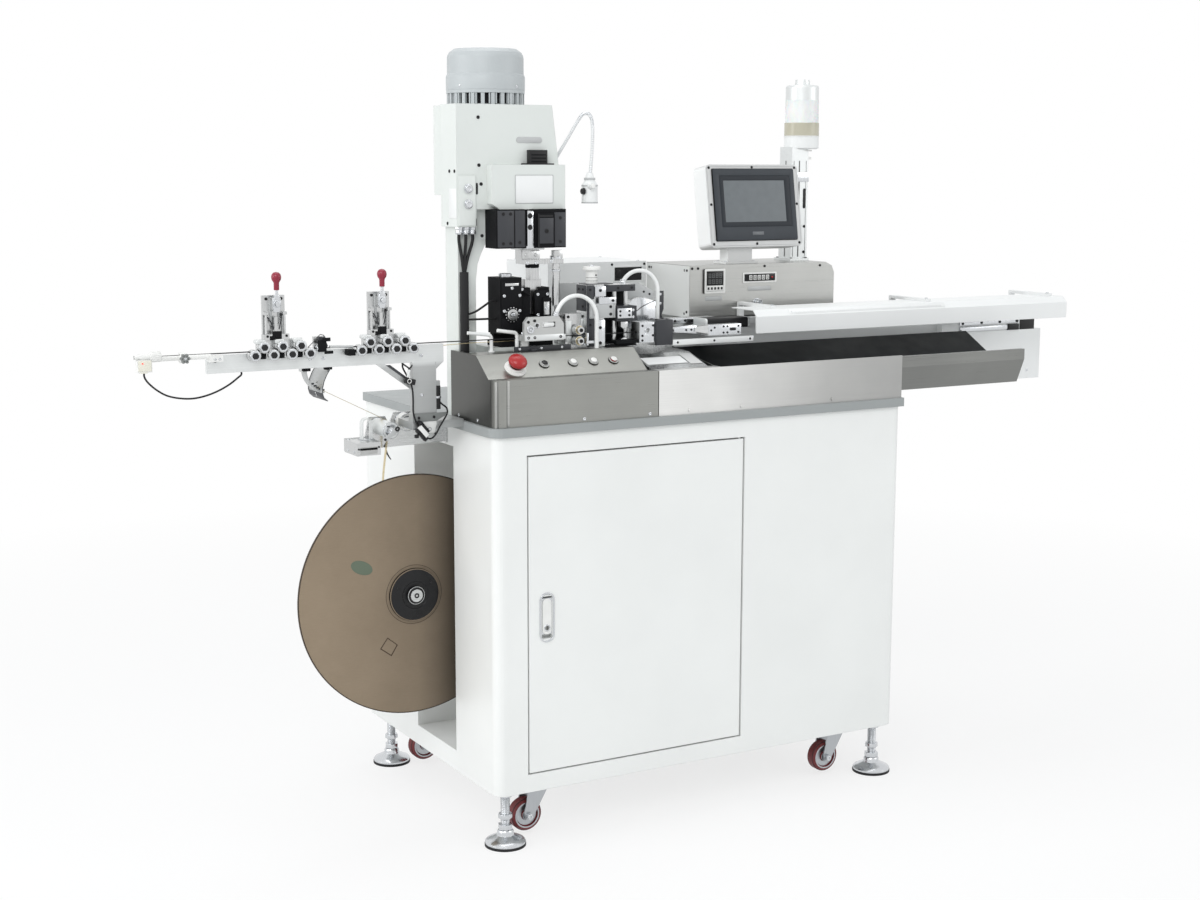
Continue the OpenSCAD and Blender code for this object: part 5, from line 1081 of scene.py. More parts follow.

# Trough: painted shade inside, lip and foot screws
Form("trough_inside_shade", "trough_shade").prism(
    [(23.6, 807.4), (189.6, 897.2), (189.4, 898), (23.4, 808.2), (4.9, 853), (4.6, 852.4)], "yz", 488.2,
    1245.6, 0)
Form("trough_lip_shade", "trough_shade").prism(
    [(4.6, 853), (5.1, 853), (5.1, 872.6), (4.6, 872.6)], "yz", 488.2, 1245.6, 0)
Form("trough_lip_edge", "stainless").box(486.2, 1245.8, 11.6, 12.8, 871.4, 875.2, 0.3)
Form("trough_end_screws", "zinc").screws([(486, 60, 845), (486, 140, 882)], 2.6, 1, "left")

# Instruments: temperature controller, counter, knob and screws
Form("gauge_frame", "plastic").frame_prism(
    rounded(585.6, 635.4, 998.6, 1048.4, 2), rounded(590, 631, 1003, 1044, 1), "xz", 225, 226.2, 0.3)
Form("gauge_window", "black_gloss").box(590.4, 630.6, 224.9, 226.1, 1015.4, 1043.6, 0.3)
gauge_digits = Form("gauge_digits", "display_grey")
for row, top in ((0, 1039), (1, 1027)):
    for i in range(4):
        x = 595 + 8.6 * i
        for dx0, dx1, dz0, dz1 in ((0, 0.8, -4, 0), (0, 0.8, -8.4, -4.6), (4.6, 5.4, -4, 0),
                                   (4.6, 5.4, -8.4, -4.6), (0.8, 4.6, -0.8, 0), (0.8, 4.6, -4.7, -3.9),
                                   (0.8, 4.6, -8.4, -7.6)):
            gauge_digits.box(x + dx0, x + dx1, 224.7, 225, top + dz0, top + dz1, 0)
Form("gauge_keys_strip", "plastic").box(590.4, 630.6, 224.8, 226.1, 1003.4, 1014.8, 0.3)
gauge_keys = Form("gauge_keys", "black")
for x in (594.5, 602.5, 610.5, 618.5, 626.5):
    gauge_keys.box(x - 2.2, x + 2.2, 224.2, 225, 1006.6, 1011.6, 0.3)
Form("counter_frame", "plastic").frame_prism(
    rounded(681, 765, 1017.4, 1038.6, 2), rounded(684.6, 761.4, 1020.6, 1035.4, 1), "xz", 228.6, 230.2, 0.4)
Form("counter_window", "black_gloss").box(684.8, 761.2, 229.6, 231.4, 1020.8, 1035.2, 0.2)
counter = Form("counter_wheels", "plastic")
for i in range(5):
    x = 697 + 10.4 * i
    counter.prism(rounded(x, x + 7.4, 1023.2, 1032.8, 0.8), "xz", 228.7, 229.8, 0.3)
counter_marks = Form("counter_marks", "black")
for i in range(5):
    x = 700.7 + 10.4 * i
    counter_marks.frame_prism(rounded(x - 2, x + 2, 1024.6, 1031.4, 1.4),
                              rounded(x - 1.1, x + 1.1, 1025.7, 1030.3, 0.7), "xz", 228.4, 228.8, 0)
Form("counter_reset", "red").disc(754, 229.7, 1028, "front", 2, 1.6, 0.4)
piece = Form("instrument_screws", "black")
piece.screws([(558, 230, 1050), (572, 230, 1050), (735, 230, 1051), (876, 230, 1049)], 2.6, 1.2)
piece.screws(grid(553, (250, 380), (1046, 958)), 2.6, 1.2, "left")
Form("instrument_plate_1", "plate").prism(rounded(590, 631, 984, 993, 1), "xz", 229.6, 230.1, 0.15)
Form("instrument_plate_2", "plate").prism(rounded(694, 752, 1001, 1010, 1), "xz", 229.6, 230.1, 0.15)
Form("knob_ring", "zinc").ring(717, 229.9, 977, "front", 6.8, 9, 0.9, 0.3)
Form("knob_mark", "black", "selector_knob").box(716.4, 717.6, 213.4, 214.1, 978, 982.6, 0)
vents = Form("instrument_vents", "black")
for x in range(600, 840, 30):
    for z in (1020, 1008):
        vents.box(x, x + 18, 396.8, 398.3, z, z + 3, 0)

# Touch panel
tilted = turned(616, 250, 1090, -9, "X")
Form("panel_bezel", "bezel", MACHINE, tilted).frame_prism(
    rounded(14.6, 215.4, 13.6, 160.4, 2), rounded(28.6, 204, 41, 146.7, 1), "xz", -4.4, -2.9, 0.5)
Form("panel_inner", "bezel_dark", MACHINE, tilted).frame_prism(
    rounded(28.4, 204.2, 40.8, 146.9, 1), rounded(38.6, 190.2, 51.3, 136.7, 0.8), "xz", -3.9, -2.9, 0.2)
Form("panel_glass", "screen", MACHINE, tilted).prism(
    rounded(38.4, 190.4, 51.1, 136.9, 0.8), "xz", -3.5, -2.9, 0)
Form("panel_line", "black", MACHINE, tilted).frame_prism(
    rounded(13.4, 216.6, 12.4, 161.6, 2.4), rounded(14.7, 215.3, 13.7, 160.3, 2), "xz", -1.4, 0.1, 0)
Form("panel_plate", "bezel_mark", MACHINE, tilted).prism(
    rounded(102, 130, 24, 31, 1), "xz", -4.6, -4.3, 0.1)
Form("panel_rim_line", "plate", MACHINE, tilted).frame_prism(
    rounded(3, 226, 3, 167, 6), rounded(3.8, 225.2, 3.8, 166.2, 5.4), "xz", -0.25, 0.1, 0)
Form("panel_screws", "black", MACHINE, tilted).screws(
    [(8, 0, 163.4), (114, 0, 164.6), (221, 0, 163.4), (8, 0, 88), (221.6, 0, 88), (8, 0, 7), (114, 0, 6.4),
    (221, 0, 7)], 2.7, 1)
Form("panel_back_plate", "cover", MACHINE, tilted).prism(
    rounded(12, 217, 12, 158, 5), "xz", 45.8, 47.2, 0.5)
Form("panel_back_screws", "zinc", MACHINE, tilted).screws(grid((20, 209), 47, (20, 150)), 3, 1.2, "back")
panel_vents = Form("panel_back_vents", "black", MACHINE, tilted)
for i in range(10):
    panel_vents.box(70 + i * 9.5, 73.5 + i * 9.5, 46.6, 47.5, 90, 136, 0)
Form("panel_neck_screws", "zinc").screws(grid((660, 730), (263, 292), 1060), 2.6, 1.4, "up")

# Oil bottle on its profile post
BOTTLE = (887, 320)
Form("bottle_body", "bottle").lathe(
    [(0, 0.6), (30, 0.6), (35.2, 3), (36.4, 6), (36.4, 27), (35.4, 29), (35.4, 98), (34, 103), (30, 105.2),
    (17, 106.6), (16.4, 107)], *BOTTLE, 1293, "up", 56)
Form("bottle_oil", "oil").lathe(
    [(0, 0), (36.2, 0), (36.9, 0.8), (36.9, 26.2), (36.2, 27), (0, 27)], *BOTTLE, 1318.4, "up", 56)
Form("bottle_cup", "cover").lathe(
    [(0, -2.4), (33, -2.4), (36.7, -0.2), (36.8, 24.4), (0, 24.6)], *BOTTLE, 1293, "up", 56)
Form("bottle_cap", "plastic").lathe(
    [(0, 0), (17.6, 0), (18, 1), (17.2, 9), (15.4, 10.4), (0, 10.6)], *BOTTLE, 1399, "up", 40)
cap_ribs = Form("bottle_cap_ribs", "plastic")
for x, y in circle(*BOTTLE, 17.5, 28):
    cap_ribs.disc(x, y, 1400, "up", 0.7, 7.6, 0.2, 6)
piece = Form("bottle_rings", "plastic")
piece.ring(*BOTTLE, 1316.6, "up", 35.6, 37.6, 2, 0.6, 56)
piece.ring(*BOTTLE, 1269, "up", 18, 21.6, 5, 0.8, 40)
piece.ring(*BOTTLE, 1286, "up", 18, 23, 3, 0.8, 40)
post = Form("bottle_post_slots", "mark")
for x0, x1, y0, y1 in ((866, 868.4, 297.5, 298.3), (853, 853.8, 297.6, 298.2), (884.4, 885.2, 297.6, 298.2),
                       (847.5, 848.2, 318.8, 321.2)):
    post.box(x0, x1, y0, y1, 1064, 1266, 0)
piece = Form("bottle_post_screws", "black")
piece.screws(grid(882, 298, (1232, 1128, 1074)), 3, 1.4)
piece.prism(rounded(878, 884, 1166, 1208, 2.8), "xz", 297, 298.2, 0.3)
piece.screws([(848, 295, 1061), (886, 295, 1061), (848, 345, 1061)], 3, 1.6, "up")
Form("bottle_bracket", "zinc").box(846.6, 891.4, 296.4, 298.2, 1222, 1242, 0.6)

# Work lamp
LAMP = (268, 135)
piece = Form("lamp_rim", "plate")
piece.ring(*LAMP, 1185.4, "up", 12.4, 15.6, 3, 0.6, 40)
piece.ring(*LAMP, 1217, "up", 14.8, 15.5, 3, 0.4, 40)
piece.ring(*LAMP, 1229, "up", 8.4, 10.8, 4, 0.6, 32)
Form("lamp_glass", "lamp_lens").disc(*LAMP, 1186.2, "down", 12.6, 0.8, 0.3, 40)
Form("lamp_cap", "plastic").disc(262, 111.8, 1218, "front", 4.6, 3, 0.8)
Form("lamp_knob", "black").lathe(
    [(0, 0), (6.4, 0), (6.4, 1), (5.4, 1.6), (5.4, 5), (4.4, 6), (0, 6)], 253.2, 130, 1208, "left", 24)
lamp_rings = Form("lamp_rings", "zinc")
lamp_route = smooth_route([(209.7, 175, 1266), (215, 174, 1267), (224, 168, 1284), (236, 160, 1308),
    (249, 152, 1334), (259, 147, 1350), (268, 143, 1352), (274, 140, 1344), (276, 138, 1326),
    (275, 137, 1296), (272, 136, 1262), (269, 135, 1240)], 8)
for before, point, after in zip(lamp_route, lamp_route[1:], lamp_route[2:]):
    ahead = tuple(Vector(after) - Vector(before))
    lamp_rings.lathe([(2.6, -0.9), (3.35, -0.5), (3.35, 0.5), (2.6, 0.9)], *point, ahead, 12)
Form("lamp_socket", "zinc").ring(208.6, 175, 1266, "right", 3, 7, 4, 0.8)

# Rear cover: window frame, unit on top and screws
Form("window_inside", "black").box(476, 542.4, 404, 405.6, 1018.2, 1045.8, 0)
Form("window_frame", "cover").frame_prism(
    rounded(472.6, 545.8, 1014.8, 1049.2, 1), rounded(475.9, 542.5, 1018.2, 1045.8, 0.8), "xz", 400.8,
    402.1, 0.3)
piece = Form("window_unit", "black_gloss")
piece.disc(503, 404.2, 1032, "front", 9, 1.4, 0.5)
piece.box(482, 494, 403, 404.4, 1024, 1040, 0.4)
Form("rear_cover_screws", "black").screws(
    [(332, 402, 1050), (548, 402, 1052), (470, 402, 1052), (330, 402, 980), (546, 402, 985)], 2.6, 1)
Form("rear_cover_fan", "black").ring(410, 590, 940, "back", 36, 42, 2.4, 0.6, 48)
fan_guard = Form("rear_cover_fan_bars", "zinc")
for radius in (10, 18, 26, 34):
    fan_guard.ring(410, 591, 940, "back", radius, radius + 1.2, 1.4, 0.3, 40)
for a in (0.4, 2.0, 3.5, 5.1):
    bar = [(410 + r * math.cos(a), 591.7, 940 + r * math.sin(a)) for r in (5, 38)]
    fan_guard.tube(bar, 0.9, 8)
Form("rear_cover_top_screws", "zinc").screws(grid((334, 540), (416, 576), 1058), 3, 1.2, "up")

# Wire line: rollers, clamps, eyelet and guide arm
WIRE_BANKS = (-405, -211)


def roller_face(form_rim, form_hub, x, z):
    form_rim.lathe([(5.2, 0), (9.6, 0), (9.9, 0.4), (9.9, 0.9), (9.2, 1.5), (6.2, 1.5), (5.2, 0.8)], x,
        95.9, z, "front", 6)
    form_hub.disc(x, 92.1, z, "front", 4.9, 1.6, 0.6, 24)
    form_hub.ring(x, 95.9, z, "front", 3.4, 5.3, 2.2, 0.4, 24)


for number, bank_x in enumerate(WIRE_BANKS, 1):
    here = turned(bank_x, 0, 0, 0)
    block = f"roller_block_{number}"
    lever = f"clamp_lever_{number}"
    rims = Form(f"lower_rims_{number}", "zinc", MACHINE, here)
    hubs = Form(f"lower_hubs_{number}", "black", MACHINE, here)
    gaps = Form(f"lower_gaps_{number}", "dark", MACHINE, here)
    for i in range(4):
        roller_face(rims, hubs, 33 * i, 934)
    for i in range(3):
        gaps.box(33 * i + 11, 33 * i + 22, 106, 114.9, 927, 936.6, 0.6)
    rims = Form(f"upper_rims_{number}", "zinc", block, here)
    hubs = Form(f"upper_hubs_{number}", "black", block, here)
    caps = Form(f"upper_caps_{number}", "aluminium", block, here)
    for i in range(3):
        roller_face(rims, hubs, 33 * i + 16.5, 948)
        caps.prism(rounded(33 * i + 4, 33 * i + 21, 953, 960.6, 3.4), "xz", 101, 118, 0.6)
    Form(f"block_screws_{number}", "black", block, here).screws(grid((26, 60), 106.5, 965.5), 2.2, 1)
    piece = Form(f"press_foot_{number}", "dark", block, here)
    piece.box(35, 51, 104.4, 107.6, 959.6, 974, 0.8)
    piece.disc(43, 104.4, 967, "front", 4.4, 1.6, 0.5)
    piece.box(30, 36, 105, 107.4, 958.8, 966, 0.5)
    plate = Form(f"bank_plate_{number}", "plate", MACHINE, here)
    plate.box(33.5, 38.5, 117.6, 119.1, 985, 1030, 0.4)
    plate.box(48.5, 52.5, 117.8, 119.1, 990, 1008, 0.4)
    piece = Form(f"bank_plate_screws_{number}", "black", MACHINE, here)
    piece.screws(grid((29, 56), 119, (1029, 1002)), 2.6, 1.6)
    piece.screws([(38.5, 106, 1028), (47.5, 106, 1014)], 2.2, 1.2)
    base = Form(f"clamp_base_{number}", "zinc", MACHINE, here)
    base.prism([(35.4, 1011), (50.6, 1011), (50.6, 1026), (46, 1031), (35.4, 1031)], "xz", 103.9, 106.1,
        0.6)
    base.disc(43, 98.3, 1021, "front", 4.6, 1.8, 0.5)
    arms = Form(f"clamp_links_{number}", "guide_dark", MACHINE, here)
    arms.tube([(26, 115.6, 1000), (31, 114.8, 996), (36, 113.6, 987), (39, 112.6, 976.6)], 1.1, 8)
    arms.tube([(55, 115.6, 1003), (54, 114.8, 994), (51, 113.8, 984), (49, 113, 976.6)], 1.1, 8)
    piece = Form(f"clamp_hub_{number}", "zinc", lever, here)
    piece.ring(43, 101.8, 1021, "front", 3, 6.4, 1.6, 0.5)
    piece.box(39.4, 46.6, 101, 102, 1026, 1036.4, 0.4)
    Form(f"clamp_rod_{number}", "zinc", lever, here).lathe(
        [(0, 0), (2.6, 0), (2.6, 18), (0, 18)], 43, 103.7, 1034, "up", 20)
    Form(f"clamp_grip_{number}", "grip_red", lever, here).lathe(
        [(0, 0), (4.2, 0), (4.7, 1), (4.7, 12), (5.6, 14.2), (7.6, 17), (8.5, 20.4), (8.5, 23.6),
        (7.4, 27.2), (4.6, 30), (0, 31.2)], 43, 103.7, 1044.6, "up", 36)
piece = Form("eyelet_block", "dark")
piece.box(-291, -275, 99.6, 101.2, 935, 956, 0.8)
piece.box(-283, -268, 98, 101, 953, 959.5, 0.8)
piece.box(-279, -263, 99, 102, 931, 936.4, 0.8)
Form("eyelet_plate", "guide_dark").prism(
    [(-293, 941), (-286, 936), (-272, 936), (-268, 944), (-274, 959), (-284, 961)], "xz", 111.4, 113.2, 0.5)
Form("eyelet_ring", "zinc").ring(-290.4, 105, 941, "left", 2.6, 5.2, 2.4, 0.5)
Form("eyelet_spring", "mark").tube(
    [(-308, 103, 944), (-300, 101, 952), (-292, 100.4, 961), (-286, 100.6, 965.6), (-280, 101, 964),
    (-276, 101, 958)], 0.75, 8)
Form("eyelet_tube", "plate").tube(
    [(-268, 105, 942.6), (-250, 105, 942.2), (-236, 105, 941.4), (-224, 105, 941)], 2.6, 14)
Form("eyelet_dark_block", "dark").box(-236, -222.6, 96, 116, 926, 936.6, 1)
Form("arm_screws", "zinc").screws(
    [(-300, 115, 922), (-276, 115, 922), (-90, 115, 918), (-90, 115, 846), (-80, 115, 806),
    (-98, 115, 806)], 3, 1.6)
Form("arm_end_hole", "black").ring(-470, 114.9, 929, "front", 2.7, 4.6, 0.8, 0.2)
Form("brace_cap", "guide_dark").prism(
    [(-158, 903.5), (-150, 903.5), (-109, 873), (-109, 868)], "xz", 115.6, 117.1, 0.3)
piece = Form("chute_clip", "dark")
piece.box(-312, -298, 119, 127, 900, 905.8, 0.8)
piece.box(-272, -258, 119, 127, 901, 905.8, 0.8)
chute_dots = Form("chute_lining", "guide_dark")
for x, z in arc(-262, 902, 41, 222, 254, 4):
    chute_dots.box(x - 2.4, x + 2.4, 125.2, 127, z + 1, z + 4.2, 0.4)
chute_front = [(-264.4, 902.3), (-271.3, 891.9), (-276.6, 880.3), (-279.4, 868.6), (-279.6, 860.7),
    (-277.2, 852.6), (-269.9, 846.1)]
Form("chute_sheet", "arm_metal").prism(
    chute_front + [(x + 1.3, z + 0.4) for x, z in reversed(chute_front)], "xz", 113.6, 184, 0.2)
# Dark strips over the chute sheet's lower bend and its two side edges: painted shade.
chute_shade = Form("chute_shade_strips", "guide_dark").prism(
    [(x - 0.5, z - 0.2) for x, z in chute_front[4:]] + [(x + 0.4, z) for x, z in reversed(chute_front[4:])],
    "xz", 113.2, 184.4, 0.1)
chute_side = [(x - 0.5, z - 0.1) for x, z in chute_front[:5]]
chute_side += [(x + 0.5, z) for x, z in reversed(chute_front[:5])]
for y0, y1 in ((112.8, 114), (182.6, 184.6)):
    chute_shade.prism(chute_side, "xz", y0, y1, 0)
chute_pins = Form("chute_pins", "plate")
for x, z in ((-277.6, 877), (-279.2, 870.6), (-279.7, 864.4), (-279.2, 858.4), (-277.6, 853.8)):
    chute_pins.disc(x, 146, z, "left", 1.7, 1.6, 0.3, 14)

# Wire inlet with its star knob
Form("inlet_nozzle", "plastic").lathe(
    [(1.9, 0), (3, 0), (3.9, 2), (3.9, 9), (5.4, 10.5), (5.4, 25), (8.4, 27), (8.6, 29), (8.6, 42), (8, 44),
    (4.8, 45)], -610, 105, 941, "right", 32)
inlet_ribs = Form("inlet_ribs", "plastic")
for y, z in circle(105, 941, 8.5, 18):
    inlet_ribs.box(-582, -567, y - 0.5, y + 0.5, z - 0.5, z + 0.5, 0.2)
piece = Form("inlet_sensor", "cream")
piece.box(-605, -583, 97.8, 99.2, 918, 935.6, 0.6)
piece.box(-602, -590, 98.2, 111.8, 914.4, 916.4, 0.4)
Form("inlet_sensor_light", "digit_red").disc(-598, 97.9, 931, "front", 1.3, 0.7, 0.2)
star = Form("inlet_star_knob", "grey_paint")
star.disc(-530, 89.2, 937, "front", 6.4, 6, 1)
for x, z in circle(-530, 937, 6.2, 6):
    star.disc(x, 89.2, z, "front", 2.7, 6, 0.9, 16)
piece = Form("inlet_clamp_screws", "zinc")
piece.screws(grid((-474, -466), 100, 932), 2.2, 1.4)
piece.screws([(-530, 83.2, 937)], 2.2, 0.8)


# Reel: rims, hub, plain marks and axle cap
REEL_X, REEL_Z = -74, 457
reel = Form("reel_edges", "board_edge", "reel")
reel.ring(REEL_X, 203.2, REEL_Z, "front", 227.4, 229.7, 3.5, 0.5, 120)
reel.ring(REEL_X, 236.2, REEL_Z, "front", 211.6, 213.6, 3.4, 0.5, 120)
reel.ring(REEL_X, 200.1, REEL_Z, "front", 56, 56.9, 0.25, 0, 72)
Form("reel_hub", "black_gloss", "reel").lathe(
    [(17.8, 0), (50.4, 0), (50.9, 1.2), (49.8, 4.2), (47, 6), (30, 6.8), (28.6, 7.6), (26.4, 7.6),
    (25.4, 6.6), (17.8, 6.2)], REEL_X, 200, REEL_Z, "front", 80)
Form("reel_hub_screws", "black", "reel").screws(
    [(REEL_X + 38 * math.cos(a), 193.6, REEL_Z + 38 * math.sin(a)) for a in (0.6, 2.7, 4.8)], 2.6, 0.8)
Form("axle_cap", "black_gloss").lathe(
    [(0, 0), (17.2, 0), (17.3, 5.6), (15.6, 7.8), (9, 8.8), (8.4, 8), (0, 7.8)], REEL_X, 195.2, REEL_Z,
    "front", 56)
Form("axle_cap_screw", "black").screw(REEL_X, 187.4, REEL_Z, 5, 2.2)
Form("axle_rear_nut", "zinc").prism(hexagon(17, REEL_X, REEL_Z), "xz", 326.2, 334, 0.8)
oval = [(-178 + 22.5 * math.cos(a) * 0.92 + 12.5 * math.sin(a) * 0.39,
    519 - 22.5 * math.cos(a) * 0.39 + 12.5 * math.sin(a) * 0.92) for a in turn_angles(40)]
Form("reel_oval_mark", "green_mark", "reel").prism(oval, "xz", 199.82, 200.1, 0)
Form("reel_square_mark", "stamp", "reel").frame_prism(
    [(-129, 380), (-108.4, 363.2), (-121.6, 342.8), (-144.4, 359.6)],
    [(-128.6, 377.6), (-111, 363.4), (-122.2, 345.6), (-141.8, 360)], "xz", 199.85, 200.1, 0)
wound = Form("wound_strip", "brass", "reel")
for i in range(12):
    wound.ring(REEL_X, 231.2, REEL_Z, "front", 50.5 + 1.8 * i, 51.6 + 1.8 * i, 26.6, 0.2, 72)
Form("stand_screws", "zinc").screws(grid((112, 176), 318, (480, 434)), 4, 2)

# Strip guide: rollers, tension lever, strip guard and wiper box
for number, x, z, radius, y in ((1, -136, 780, 15, 150), (2, -84, 786, 16, 193)):
    body = f"strip_roller_{number}"
    piece = Form(f"strip_roller_face_{number}", "zinc", body)
    piece.ring(x, y + 0.1, z, "front", 7.4, radius - 3.4, 0.7, 0.2)
    piece.ring(x, y + 2, z, "front", radius - 1, radius + 0.9, 2, 0.5, 40)
    piece.ring(x, 215.6, z, "front", radius - 1, radius + 0.9, 2, 0.5, 40)
    piece = Form(f"strip_axle_nut_{number}", "zinc")
    piece.prism(hexagon(6.4, x, z, 12), "xz", y - 8.6, y - 4.9, 0.6)
    piece.disc(x, y - 8.4, z, "front", 3.2, 2, 0.4)
Form("strip_lever", "plate").prism(
    [(-155, 766), (-150, 762), (-126, 779), (-124, 787), (-131, 788)], "xz", 137.4, 140.6, 0.8)
piece = Form("strip_lever_ring", "black")
piece.ring(-129, 137.6, 784, "front", 2, 4.6, 2.4, 0.6)
piece.disc(-153, 137.6, 766, "front", 2.4, 2, 0.5)
piece.box(-148.6, -143, 138, 140.4, 788, 790.4, 0.4)
Form("strip_lever_post", "zinc").disc(-141.4, 150, 777, "front", 2.2, 12.4, 0.4)
guard = ([(-177, 759.6)] + arc(-167, 790, 10, 180, 0, 10) + [(-157, 759.6), (-159, 759.6)]
         + arc(-167, 790, 8, 0, 180, 10) + [(-175, 759.6)])
Form("strip_guard", "aluminium").prism(guard, "xz", 186, 200, 0.3, 1)
piece = Form("strip_guard_foot", "zinc")
piece.box(-180, -154, 184, 202, 759.8, 761.6, 0.5)
piece.screws(grid((-151, -196), 207, 759.9), 2.6, 1.6, "up")
piece = Form("wiper_felt", "felt")
piece.box(-193.6, -160.4, 155, 158, 738, 745.8, 0.8)
piece.box(-193.4, -160.6, 155.4, 158, 750.2, 751.6, 0.3)
Form("wiper_dots", "black").screws([(-196.4, 156, 748.6), (-157.6, 156, 750.4)], 1.9, 1)
Form("wiper_side_screws", "zinc").screws(grid(-200, (170, 200), 742), 2.2, 1.2, "left")
piece = Form("strip_plate_screws", "black")
piece.screws(grid((-114, -105), 216, 757), 2.2, 1.2)
piece.screws(grid((-18, -34), 216, 757), 2.6, 1.4)
Form("strip_hook", "black").tube(
    [(-119, 215.6, 746), (-120.6, 213, 741), (-121, 211, 734), (-119, 210.4, 727), (-115, 210, 720),
    (-112, 210, 716)], [1.3, 1.5, 1.6, 1.5, 1.2, 0.9], 10)

# Plugs and connectors of the cable beside the post
for number, x, z in ((1, -90, 788), (2, -93.6, 774)):
    here = turned(x, 109, z, 49)
    piece = Form(f"plug_{number}", "black", MACHINE, here)
    piece.box(-13, 13, -5, 5, -3.9, 3.9, 0.9)
    piece.box(-15.4, -12.6, -3.4, 3.4, -2.6, 2.6, 0.6)
    ribs = Form(f"plug_ribs_{number}", "dark", MACHINE, here)
    for x in (-9, -5.6, 6):
        ribs.box(x, x + 1.2, -5.4, 5.2, -4.2, 4.2, 0.2)
Form("plug_label", "plastic", MACHINE, turned(-91.8, 108.4, 781, 49)).box(-12, 12, -5.2, -1, -4.2, 4.2, 0.3)
Form("plug_stub", "black").box(-107, -100, 106, 112, 769, 775.4, 0.8)
piece = Form("connector_y", "black")
piece.tube([(-127, 117, 905.6), (-122, 112, 901), (-116, 110, 896.4)], 1.5, 10)
piece.tube([(-108, 115.2, 901), (-111, 111, 899), (-115.4, 110, 896)], 1.3, 10)
piece.tube([(-115.6, 110, 897), (-115.8, 110, 893)], 2.4, 12)
Form("connector_tube", "hose").tube([(-115.8, 110, 894), (-117, 110, 888), (-118.6, 110, 880)], 2.6, 12)
piece = Form("connector_block", "black", MACHINE, turned(-115, 109.6, 872.6, 14))
piece.box(-9.6, 9.6, -5, 5, -5, 5.4, 1.4)
piece.ring(-3.4, -4.9, 0.4, "front", 1.6, 3.4, 0.8, 0.2)
Form("connector_ring", "plastic", MACHINE, turned(-115, 109.6, 872.6, 14)).ring(
    -3.4, -5.5, 0.4, "front", 3, 4.2, 0.8, 0.2)
Form("connector_bar", "black").box(-60.9, -52.4, 114.6, 124.8, 818, 861, 1.2)
Form("connector_bar_clip", "zinc").box(-61.4, -51.8, 113.8, 125.2, 838, 842, 0.5)
Form("post_foot_plate", "grey_paint").prism(
    [(-107, 797.6), (-62, 797.6), (-46, 806), (-42, 812.4), (-107, 812.4)], "xz", 111.2, 115.1, 0.6)
Form("post_foot_screws", "black").screws(grid((-98, -68), 111.2, 805), 2.6, 1.4)
Form("post_foot_bracket", "plastic").prism(
    [(-90, 798), (-62, 798), (-62, 792), (-66, 776), (-84, 776), (-90, 790)], "xz", 112.6, 116.6, 0.7)
Form("post_foot_hook", "plate").ring(-76, 112.8, 783, "front", 2, 4, 0.8, 0.2)
Form("post_edge", "plate").box(-62.4, -60.8, 114.8, 125.2, 862, 905, 0.3)


# Electrics inside the cabinet: drives, power supply, terminals, transformer and valves
drive_faces = Form("drive_faces", "dark")
drive_plugs = Form("drive_plugs", "green_plug")
drive_labels = Form("drive_labels", "plastic")
drive_windows = Form("drive_windows", "display_grey")
drive_pins = Form("drive_pins", "zinc")
for x in (260, 335, 410):
    drive_faces.box(x + 2, x + 58, 432.2, 434.2, 499, 631, 0.8)
    for z in range(512, 620, 14):
        drive_faces.box(x - 1.4, x + 0.2, 446, 532, z, z + 5, 0.4)
    drive_plugs.box(x + 6, x + 20, 425, 432.4, 508, 560, 0.8)
    drive_pins.screws([(x + 13, 425, 514 + 8 * i) for i in range(6)], 2.2, 0.8)
    drive_labels.box(x + 28, x + 52, 431.6, 432.4, 512, 566, 0.2)
    drive_windows.box(x + 8, x + 50, 431.4, 432.4, 602, 620, 0.3)
    drive_plugs.box(x + 30, x + 50, 426, 432.4, 576, 588, 0.6)
supply = Form("supply_grille", "black")
for row in range(7):
    for column in range(6):
        supply.disc(520 + 16 * column + 8 * (row % 2), 494.2, 540 + 12 * row, "front", 4, 0.6, 0, 12)
supply.box(514, 606, 488, 494.2, 508, 522, 0.8)
Form("supply_terminals", "zinc").screws([(521 + 12 * i, 488, 515) for i in range(7)], 3.6, 1.4)
rail_blocks = Form("terminal_blocks", "panel_grey")
rail_screws = Form("terminal_screws", "zinc")
for i in range(33):
    x = 262 + 10.2 * i
    rail_blocks.box(x, x + 9, 496, 504.4, 388, 422, 0.7)
    rail_screws.screws([(x + 4.5, 496, 396), (x + 4.5, 496, 414)], 2.6, 0.8)
duct = Form("wire_ducts", "plastic")
duct.box(252, 862, 512, 543.6, 444, 474, 1)
duct.box(252, 620, 512, 543.6, 345, 372, 1)
duct_slots = Form("duct_slots", "mark")
for count, z0, z1 in ((60, 448, 470), (36, 349, 368)):
    for i in range(count):
        duct_slots.box(258 + 10 * i, 261 + 10 * i, 511.7, 512.1, z0, z1, 0)
Form("transformer_coil", "copper").prism(rounded(672, 758, 236, 324, 14, 6), "xz", 430, 444.4, 3)
piece = Form("transformer_core", "dark")
piece.box(649, 781, 443.2, 452, 224.4, 336, 0.8)
piece.box(700, 730, 428, 445, 226, 334, 1)
Form("transformer_screws", "zinc").screws([(x, 443.2, z) for x in (657, 773) for z in (232, 328)], 4, 2.4)
valves = Form("valve_coils", "black")
valve_caps = Form("valve_fittings", "zinc")
for i in range(5):
    x = 650 + 26 * i
    valves.box(x + 2, x + 20, 466, 474.4, 500, 533, 1)
    valve_caps.ring(x + 11, 474.2, 485, "front", 2.4, 5, 7, 0.8)
    valve_caps.disc(x + 11, 466, 516, "front", 3, 2, 0.4)
wires = Form("plate_wires", "rubber")
for top_x, x in ((267, 262), (342, 338), (417, 413)):
    wires.tube([(top_x, 425, 520), (x, 416, 500), (x, 430, 470), (x + 6, 505, 455), (x + 14, 512, 455)], 2,
        8)
wires.tube([(715, 430, 324), (715, 424, 340), (690, 450, 372), (640, 505, 400), (606, 512, 440)], 2.4, 8)
